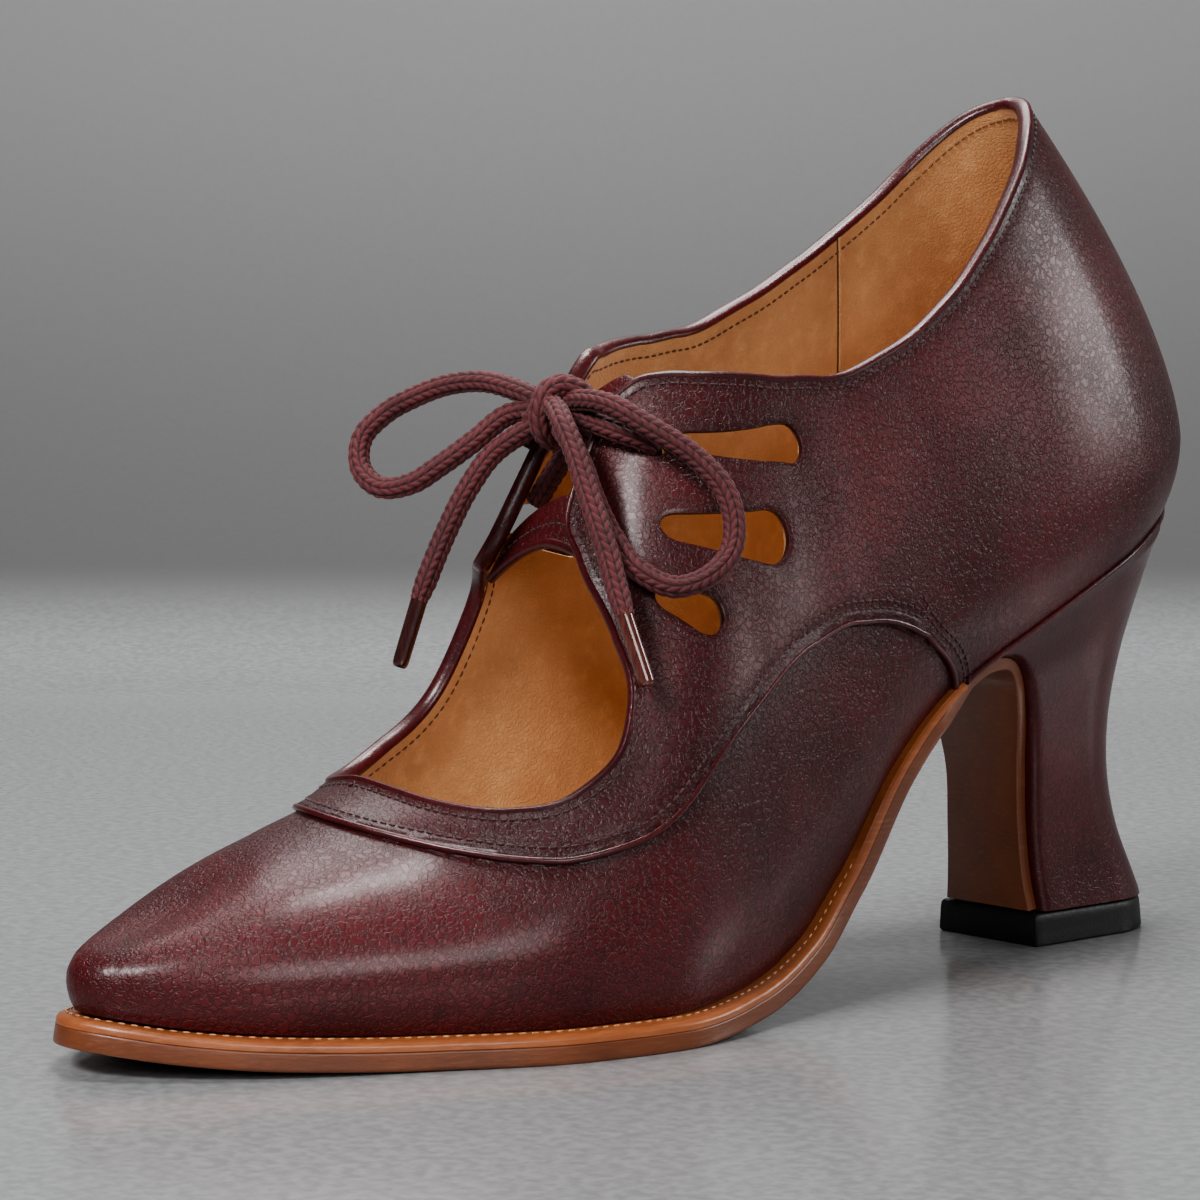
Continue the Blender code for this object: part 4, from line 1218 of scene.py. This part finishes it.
def outsole_row(inset, share):
    """Outline of the outsole at one depth: the flap on the heel's breast, the waist and the forefoot."""
    ribs = ribs_between(WAIST_BACK, LENGTH, 150)
    depth = GAP + welt_thick(ribs) + SOLE_SEAM + (outsole_thick(ribs) + GAP - SOLE_SEAM) * share
    outer, inner = feather_row(ribs, sole_edge(ribs) - inset, depth)
    course = through(BREAST[:, :3], 1.2)
    run = unit(np.gradient(course[:, :2], axis=0))
    under = np.stack((run[:, 1], -run[:, 0]), -1)
    path = course[:, :2] + under * outsole_thick(WAIST_BACK) * (share - 0.5)
    half = course[:, 2] - inset
    flap_outer = np.column_stack((half, path))
    flap_inner = np.column_stack((-half, path))
    return around(np.concatenate((flap_outer, outer)), np.concatenate((flap_inner, inner)))


outsole_tones = ((0.135, 0.038, 0.014), (0.185, 0.055, 0.020), (0.25, 0.082, 0.032))
outsole_leather = sole_leather("outsole_tan", *outsole_tones, 0.34)
outsole_rows = [outsole_row(inset, share) for inset, share in OUTSOLE_PROFILE]
piece("outsole_leather", *layered(outsole_rows, False), outsole_leather, "sole_leather", ["outsole"])


# Heel: a turned wooden block, waisted at the back and covered in the upper's leather, drawn tight and lapped
# at the seat, where the cover's folded edge stands up as a thin ridge under the upper.
SEAT_FRONT = 66.4
LIFT_HEIGHT = 5.8
HEEL_HALF_POINTS = 40
SEAT_RIDGE = 0.6
SEAT_RIDGE_OUT = 0.45
SEAT_RIDGE_DEPTH = GAP + 0.35
HEEL_CORNER = 1.7
FLAP_SEAM = 0.05


def heel_section(front, back, half, corner=0.0):
    """Course of the heel: straight at the breast, with eased corners, and round at the back."""
    front, back = np.array(front), np.array(back)
    reach = np.linalg.norm(front - back)
    share = np.sin(np.linspace(0, math.pi / 2, HEEL_HALF_POINTS))[::-1]
    from_back = 1 - np.sqrt(np.maximum(1 - share ** 2, 0))
    round_part = min(half / reach * 1.15, 1)
    ease = np.linspace(0, math.pi / 2, 7)[:-1]
    flat_part = np.linspace(1 - corner / reach, round_part, 12, endpoint=False)
    place = np.concatenate((1 - corner / reach * (1 - np.cos(ease)), flat_part, from_back * round_part))
    width = np.concatenate((1 - corner / half * (1 - np.sin(ease)), np.ones(len(flat_part)), share))
    line = back + (front - back) * place[:, None]
    return around(np.column_stack((half * width, line)), np.column_stack((-half * width, line)))


def heel_rows():
    """Courses from the top lift to the seat, close together so that the waist runs smoothly."""
    table = through(BREAST, 1.6)
    run = unit(np.gradient(table[:, :2], axis=0))
    under = np.stack((run[:, 1], -run[:, 0]), -1)
    behind = table[:, :2] - under * (outsole_thick(WAIST_BACK) / 2 + FLAP_SEAM)
    courses = []
    for front, course in zip(behind, table):
        courses.append(heel_section(front, course[4:6], course[3], HEEL_CORNER))
    courses[0][:, 2] = LIFT_HEIGHT + GAP
    count = (len(courses[0]) + 1) // 2
    seat_ribs = ribs_between(0, SEAT_FRONT, count)[::-1]
    courses.append(around(*feather_row(seat_ribs, 0.2, GAP)))
    return courses


heel_leather = burgundy_leather("heel_burgundy", 0.6, 0.03)
heel_courses = heel_rows()
piece("heel_cover", *layered(heel_courses, False), heel_leather, "heel_cover_leather", ["heel"], 50)

ridge_ribs = ribs_between(0, SEAT_FRONT, 90)[::-1]
ridge_line = around(*feather_row(ridge_ribs, SEAT_RIDGE_OUT, SEAT_RIDGE_DEPTH))
ridge_out = np.tile((0.0, 0.0, 1.0), (len(ridge_line), 1))
seat_ridge = swept(ridge_line, ridge_out, SEAT_RIDGE, SEAT_RIDGE, False)
piece("heel_seat_ridge", *seat_ridge, heel_leather, "heel_cover_leather")


# Top lift: a slab of black rubber nailed under the heel, flared at the back, its edges ground round.
LIFT_BACK = 3.4
LIFT_FRONT = 38.9
LIFT_HALF = 11.9
LIFT_FLARE = 0.6
LIFT_PROFILE = (
    # height, inset
    (0.0, 0.5),
    (0.15, 0.18),
    (0.5, 0.0),
    (4.4, 0.05),
    (5.2, 0.12),
    (5.6, 0.3),
    (LIFT_HEIGHT, 0.55),
)


def black_rubber():
    """Hard black rubber: dull, faintly pitted, greyer where it is scuffed."""
    material, shader, place = finish("lift_black", specular_ior_level=0.4)
    pits = noise(place, 0.5, 4.0)
    scuff = noise(place, 5.0, 5.0).between(0.5, 0.75)
    join((scuff * 0.6).mix((0.009, 0.009, 0.010), (0.024, 0.024, 0.025)), shader, "Base Color")
    join(0.36 + pits * 0.25, shader, "Roughness")
    join(bump(place, pits, 0.05), shader, "Normal")
    return material


lift_rows = []
for height, inset in LIFT_PROFILE:
    back = LIFT_BACK + LIFT_FLARE * height / LIFT_HEIGHT + inset
    half = LIFT_HALF - 0.2 * height / LIFT_HEIGHT - inset
    lift_rows.append(heel_section((LIFT_FRONT - inset, height), (back, height), half, 0.4))
piece("top_lift_slab", *layered(lift_rows, False), black_rubber(), "lift_rubber", ["top_lift"])


# Lace: a round braided cord, waxed and dyed to the upper. It crosses under the facings, comes out of the
# eyelets, and is tied in a bow with two loops and two ends, each tipped with a plastic aglet.
LACE = 3.3
AGLET = 2.7
CROSSING_LOW = (12.5, 136.2)
CROSSING_HIGH = (11.0, 132.4)
OUTER_RUN = ((12.4, 134.6, 91.8), (6.9, 137.0, 93.7), (2.0, 138.2, 95.0))
INNER_RUN = ((-12.0, 134.6, 91.8), (-6.9, 137.0, 93.7), (-2.0, 138.2, 95.0))
OUTER_LOOP = (
    (2.5, 138.4, 96.2), (7.0, 138.4, 96.8), (13.4, 137.8, 96.2), (18.5, 135.0, 93.2), (23.9, 129.2, 88.0),
    (27.0, 126.6, 83.6), (28.8, 126.0, 78.6), (29.6, 127.4, 74.0), (29.2, 131.0, 70.6), (26.8, 136.4, 68.8),
    (23.0, 140.2, 71.2), (19.0, 142.0, 76.2), (15.6, 143.0, 82.2), (11.4, 141.8, 87.0), (6.2, 140.6, 91.3),
    (2.0, 139.6, 93.4),
)
INNER_LOOP = (
    (-2.0, 138.6, 96.4),
    (-6.2, 139.9, 98.0), (-12.4, 142.4, 99.5), (-17.8, 145.6, 98.9), (-22.4, 148.4, 97.0),
    (-26.5, 151.3, 94.3), (-28.6, 154.2, 90.5), (-27.1, 155.7, 85.6), (-22.7, 155.0, 82.7),
    (-18.1, 152.5, 83.4), (-14.4, 149.3, 86.4), (-11.0, 145.3, 90.2), (-7.5, 141.3, 94.3),
    (-2.5, 139.2, 95.4),
)
OUTER_END = (
    (1.8, 140.8, 96.2), (5.8, 142.5, 95.6), (10.4, 144.6, 93.0), (13.3, 145.1, 89.7), (16.4, 145.5, 84.6),
    (19.4, 145.7, 79.3), (22.1, 145.6, 73.8), (24.4, 145.8, 68.6), (26.3, 145.9, 64.8),
)
OUTER_AGLET = ((25.9, 146.0, 65.8), (30.5, 144.9, 54.5))
INNER_END = (
    (-1.6, 140.4, 92.8), (-4.6, 142.1, 90.9), (-7.8, 143.8, 88.4), (-10.2, 147.0, 83.0),
    (-12.2, 150.2, 75.6), (-14.3, 153.9, 65.2),
)
INNER_AGLET = ((-14.1, 153.6, 66.2), (-16.2, 156.4, 54.6))
KNOT_WRAP = (
    (4.2, 134.4, 95.8), (4.7, 136.0, 97.6), (4.4, 138.0, 98.6), (3.6, 139.9, 99.0), (2.9, 141.4, 98.2),
    (2.5, 142.4, 96.4), (2.2, 142.6, 94.4), (2.0, 141.9, 92.3), (1.6, 140.4, 91.0), (0.6, 138.4, 90.6),
)
KNOT_BACK = (
    (-3.2, 139.6, 93.2), (-1.0, 139.4, 94.4), (1.0, 138.4, 95.4), (2.6, 136.8, 95.6), (4.2, 135.0, 94.8),
)
KNOT_WRAP_RADIUS = LACE / 2 + 0.15
KNOT_BACK_RADIUS = 2.4
EYELET_IN = 2.2
EYELET_OUT = 1.3
AGLET_DRAW = 3.2
PLAIT_COLUMNS = 8
PLAIT_PITCH = 1.55
PLAIT_SLOPE = 0.95
PLAIT_DEPTH = 0.42
CORD_SIDES = 48
CORD_STEP = 0.2


def plait(turn, run):
    """Relief of a round braid, 0 to 1: columns of slanted strands that lean to and fro like herringbone."""
    place = turn / (2 * math.pi) * PLAIT_COLUMNS
    column = np.floor(place)
    across = place - column
    lean = np.where(column % 2 == 0, 1, -1)
    phase = run / PLAIT_PITCH + lean * (across - 0.5) * PLAIT_SLOPE
    along = phase - np.floor(phase)
    return (0.25 + 0.75 * (4 * across * (1 - across)) ** 0.5) * (4 * along * (1 - along)) ** 0.5


def carried(line):
    """Two directions across a route that are carried along it without a twist."""
    run = unit(np.gradient(line, axis=0))
    first = np.cross(run[0], (0.0, 0.0, 1.0))
    if np.linalg.norm(first) < 0.1:
        first = np.cross(run[0], (0.0, 1.0, 0.0))
    firsts = [first / np.linalg.norm(first)]
    for here in run[1:]:
        moved = firsts[-1] - here * np.dot(firsts[-1], here)
        firsts.append(moved / np.linalg.norm(moved))
    firsts = np.array(firsts)
    return firsts, np.cross(run, firsts)


def braided(route, radius, end_radius=None):
    """Points, faces, relief and centre line of a braided cord. Its far end may be drawn in to an aglet."""
    line = through(route, CORD_STEP)
    first, second = carried(line)
    run = length_along(line)
    turn = np.linspace(0, 2 * math.pi, CORD_SIDES, endpoint=False)
    relief = plait(turn[None, :] + 1e-6, run[:, None])
    size = np.full(len(run), radius)
    if end_radius:
        size = np.interp(run, (run[-1] - AGLET_DRAW, run[-1]), (radius, end_radius))
    reach = size[:, None] + PLAIT_DEPTH * (relief - 0.6)
    rings = (line[:, None] + first[:, None] * (np.cos(turn) * reach)[..., None]
             + second[:, None] * (np.sin(turn) * reach)[..., None])
    cord_points, cord_faces = ringed(rings, False)
    return cord_points, cord_faces, relief.ravel(), line


def cord_piece(name, cords, nodes):
    """Braided cords as one piece, with the relief kept as an attribute for the painted shade in the grooves.
    """
    all_points, all_faces, all_relief = [], [], []
    start = 0
    for cord_points, cord_faces, relief, _ in cords:
        all_points.append(cord_points)
        all_faces += [[i + start for i in face] for face in cord_faces]
        all_relief.append(relief)
        start += len(cord_points)
    obj = piece(name, np.concatenate(all_points), all_faces, lace_cord, "lace_cord", nodes, 75)
    layer = obj.data.attributes.new("plait", "FLOAT", "POINT")
    layer.data.foreach_set("value", np.concatenate(all_relief))
    return obj


def lace_finish():
    """Waxed cotton braid: dusty wine red on the strands, painted shade in the grooves, with a little fuzz.
    """
    material, shader, place = finish("lace_wine", roughness=0.72, sheen_weight=0.15, sheen_roughness=0.45)
    relief = place.node("Attribute", {"attribute_name": "plait"}, None, "Fac")
    fuzz = noise(place, 0.28, 3.0)
    tone = noise(place, 6.0, 3.0).between(0.3, 0.7).mix((0.085, 0.013, 0.016), (0.125, 0.021, 0.025))
    tone = (fuzz.between(0.5, 0.75) * 0.4).mix(tone, (0.17, 0.055, 0.058))
    # Painted shade: the low parts of the braid's relief are coloured near black.
    tone = relief.between(0.1, 0.7).mix((0.010, 0.0020, 0.0026), tone)
    join(tone, shader, "Base Color")
    join(bump(place, fuzz, 0.08), shader, "Normal")
    return material


lace_cord = lace_finish()


def crossing_leg(side):
    """Route of one leg under the facings, from low on this side, over the throat, to the other eyelet."""
    depth = WALL + GAP + LACE / 2 + 0.2
    low_across, low_along = CROSSING_LOW
    high_across, high_along = CROSSING_HIGH
    route = []
    for share in np.linspace(0, 1, 9):
        along = low_along + (high_along - low_along) * share
        across = side * (low_across + (-high_across - low_across) * share)
        here = 1 if across >= 0 else -1
        wide = min(abs(across) / math.sqrt(half_squared[here](along)), 1)
        turn = math.acos(wide ** (full_across(along) / 2))
        up = min(BELLY_UP + (1 - BELLY_UP) * turn / (math.pi / 2), 0.97)
        route.append(rib(along, up, here) - last_normal(along, up, here) * depth)
    return route


def eyelet_way(side):
    """Points just inside and just outside an eyelet."""
    along, height, _ = EYELET
    up = up_at(along, height)
    middle = rib(along, up, side)
    out = last_normal(along, up, side)
    return [middle - out * EYELET_IN, middle + out * EYELET_OUT]


legs = []
for side, run_points in ((1, OUTER_RUN), (-1, INNER_RUN)):
    legs.append(braided(crossing_leg(side), LACE / 2))
    legs.append(braided(eyelet_way(side) + list(run_points), LACE / 2))
cord_piece("lace_legs", legs, ["lace_crossing", "lace_run_outer", "lace_run_inner"])
knot_cords = [braided(KNOT_WRAP, KNOT_WRAP_RADIUS), braided(KNOT_BACK, KNOT_BACK_RADIUS)]
cord_piece("lace_knot_wraps", knot_cords, ["lace_knot"])


def aglet_finish(name, tone, core, clear):
    """Aglet tip: a rolled sheet of glossy plastic over the end of the braid."""
    material, shader, place = finish(name, roughness=0.16, coat_weight=0.6, coat_roughness=0.08)
    lines = place.node("Mapping", None, {"Vector": place, "Scale": (2.2, 2.2, 0.25)})
    join(noise(lines, 1.0).between(0.35, 0.7).mix(tone, core), shader, "Base Color")
    shader.inputs["Transmission Weight"].default_value = clear
    return material


def aglet_tube(ends, radius):
    """Short tube with a slight crimp at the cord and a rounded tip."""
    line = np.linspace(ends[0], ends[1], 40)
    first, second = carried(line)
    share = np.linspace(0, 1, 40)
    size = radius * np.interp(share, (0, 0.03, 0.08, 0.9, 0.97, 1), (0.86, 0.98, 1, 0.96, 0.9, 0.7))
    turn = np.linspace(0, 2 * math.pi, 24, endpoint=False)
    rings = (line[:, None] + first[:, None] * (np.cos(turn) * size[:, None])[..., None]
             + second[:, None] * (np.sin(turn) * size[:, None])[..., None])
    return ringed(rings, False)


def free_cord(name, route, node, end_radius=None):
    """One free length of the lace, with its real length along its route."""
    cord = braided(route, LACE / 2, end_radius)
    obj = cord_piece(name, [cord], [node])


# Painted shade: the inner aglet, on the far side, gets a darker and opaque copy of the outer aglet's finish.
shaded_tip = aglet_finish("aglet_dark", (0.035, 0.010, 0.010), (0.06, 0.018, 0.016), 0.0)
brown_tip = aglet_finish("aglet_brown", (0.10, 0.024, 0.020), (0.17, 0.055, 0.04), 0.25)
for key, ends, tip_finish in (("outer", OUTER_AGLET, brown_tip), ("inner", INNER_AGLET, shaded_tip)):
    made = aglet_tube(ends, AGLET / 2)
    piece("aglet_tip_" + key, *made, tip_finish, "aglet_plastic", ["aglet_" + key], 60)
free_cord("lace_bow_loop_outer", OUTER_LOOP, "lace_loop_outer")
free_cord("lace_bow_loop_inner", INNER_LOOP, "lace_loop_inner")
free_cord("lace_bow_end_outer", OUTER_END, "lace_end_outer", AGLET / 2)
free_cord("lace_bow_end_inner", INNER_END, "lace_end_inner", AGLET / 2)


# Studio: a pale polished floor that rises into a grey backdrop, painted darker toward the floor as painted
# shade, soft lights, and the camera at the photograph's angle. None of it belongs to the shoe.
CAMERA_PLACE = (0.424465, -0.375387, 0.108446)
CAMERA_DIP = math.radians(4.493)
CAMERA_HEADING = math.radians(49.853)
CAMERA_LENS = 105
CAMERA_SENSOR = 36
SWEEP_START = 0.45
SWEEP_RADIUS = 0.4
STUDIO_HALF = 3.0
WALL_HEIGHT = 2.5


def studio_floor():
    """Floor and backdrop in one sheet, square to the camera, the backdrop with painted shade low down."""
    ahead = np.array((-math.sin(CAMERA_HEADING), math.cos(CAMERA_HEADING)))
    right = np.array((math.cos(CAMERA_HEADING), math.sin(CAMERA_HEADING)))
    bend = np.linspace(0, math.pi / 2, 24)
    profile = [(-STUDIO_HALF, 0)]
    profile += [(SWEEP_START + SWEEP_RADIUS * math.sin(a), SWEEP_RADIUS * (1 - math.cos(a))) for a in bend]
    profile.append((SWEEP_START + SWEEP_RADIUS, WALL_HEIGHT))
    verts, faces = [], []
    for reach, height in profile:
        for side in (-STUDIO_HALF, STUDIO_HALF):
            verts.append((*(ahead * reach + right * side), height))
    for row in range(len(profile) - 1):
        faces.append((2 * row, 2 * row + 1, 2 * row + 3, 2 * row + 2))
    mesh = bpy.data.meshes.new("studio_floor")
    mesh.from_pydata(verts, [], faces)
    mesh.shade_smooth()
    material, shader, place = finish("studio_grey")
    stone = noise(place, 2.2, 6.0)
    height = place.node("SeparateXYZ", None, {"Vector": place}, "Z")
    wall = height.between(0.0, 0.03)
    tone = stone.between(0.3, 0.7).mix((0.23, 0.233, 0.237), (0.30, 0.303, 0.307))
    # Painted shade: the backdrop's colour is darker near the floor and lighter higher up.
    backdrop = height.between(0.02, 0.3).mix((0.075,) * 3, (0.15,) * 3)
    join(wall.mix(tone, backdrop), shader, "Base Color")
    join(0.15 + stone.between(0.35, 0.75) * 0.06 + wall * 0.6, shader, "Roughness")
    mesh.materials.append(material)
    obj = bpy.data.objects.new("studio_floor", mesh)
    bpy.context.scene.collection.objects.link(obj)


def soft_light(name, place, aim, size, power):
    light = bpy.data.lights.new(name, "AREA")
    light.shape = "RECTANGLE"
    light.size, light.size_y = size
    light.energy = power
    obj = bpy.data.objects.new(name, light)
    obj.location = place
    obj.rotation_euler = (Vector(aim) - Vector(place)).to_track_quat("-Z", "Y").to_euler()
    bpy.context.scene.collection.objects.link(obj)


studio_floor()
soft_light("key_front", (0.17, -0.87, 0.78), (0, -0.06, 0.03), (0.26, 0.26), 11)
soft_light("key_rear", (0.57, 0.98, 0.43), (0.02, 0.05, 0.09), (0.3, 0.34), 4)
soft_light("back_top", (-0.55, 0.3, 1.0), (0, 0, 0.02), (0.6, 0.45), 5)
soft_light("side_fill", (0.75, -0.38, 0.34), (0, -0.02, 0.05), (0.4, 0.3), 3)
soft_light("backdrop_glow", (-0.1, 0.1, 0.9), (-0.72, 0.6, 0.32), (0.3, 0.3), 9)

world_light = bpy.data.worlds.new("studio_air")
world_light.use_nodes = True
air = world_light.node_tree.nodes["Background"]
air.inputs["Color"].default_value = (0.75, 0.77, 0.8, 1)
air.inputs["Strength"].default_value = 0.1
bpy.context.scene.world = world_light
bpy.context.scene.view_settings.look = "AgX - Medium High Contrast"

camera = bpy.data.objects.new("camera", bpy.data.cameras.new("camera"))
camera.data.lens = CAMERA_LENS
camera.data.sensor_width = CAMERA_SENSOR
camera.location = CAMERA_PLACE
camera.rotation_euler = (math.pi / 2 - CAMERA_DIP, 0, CAMERA_HEADING)
bpy.context.scene.collection.objects.link(camera)
bpy.context.scene.camera = camera
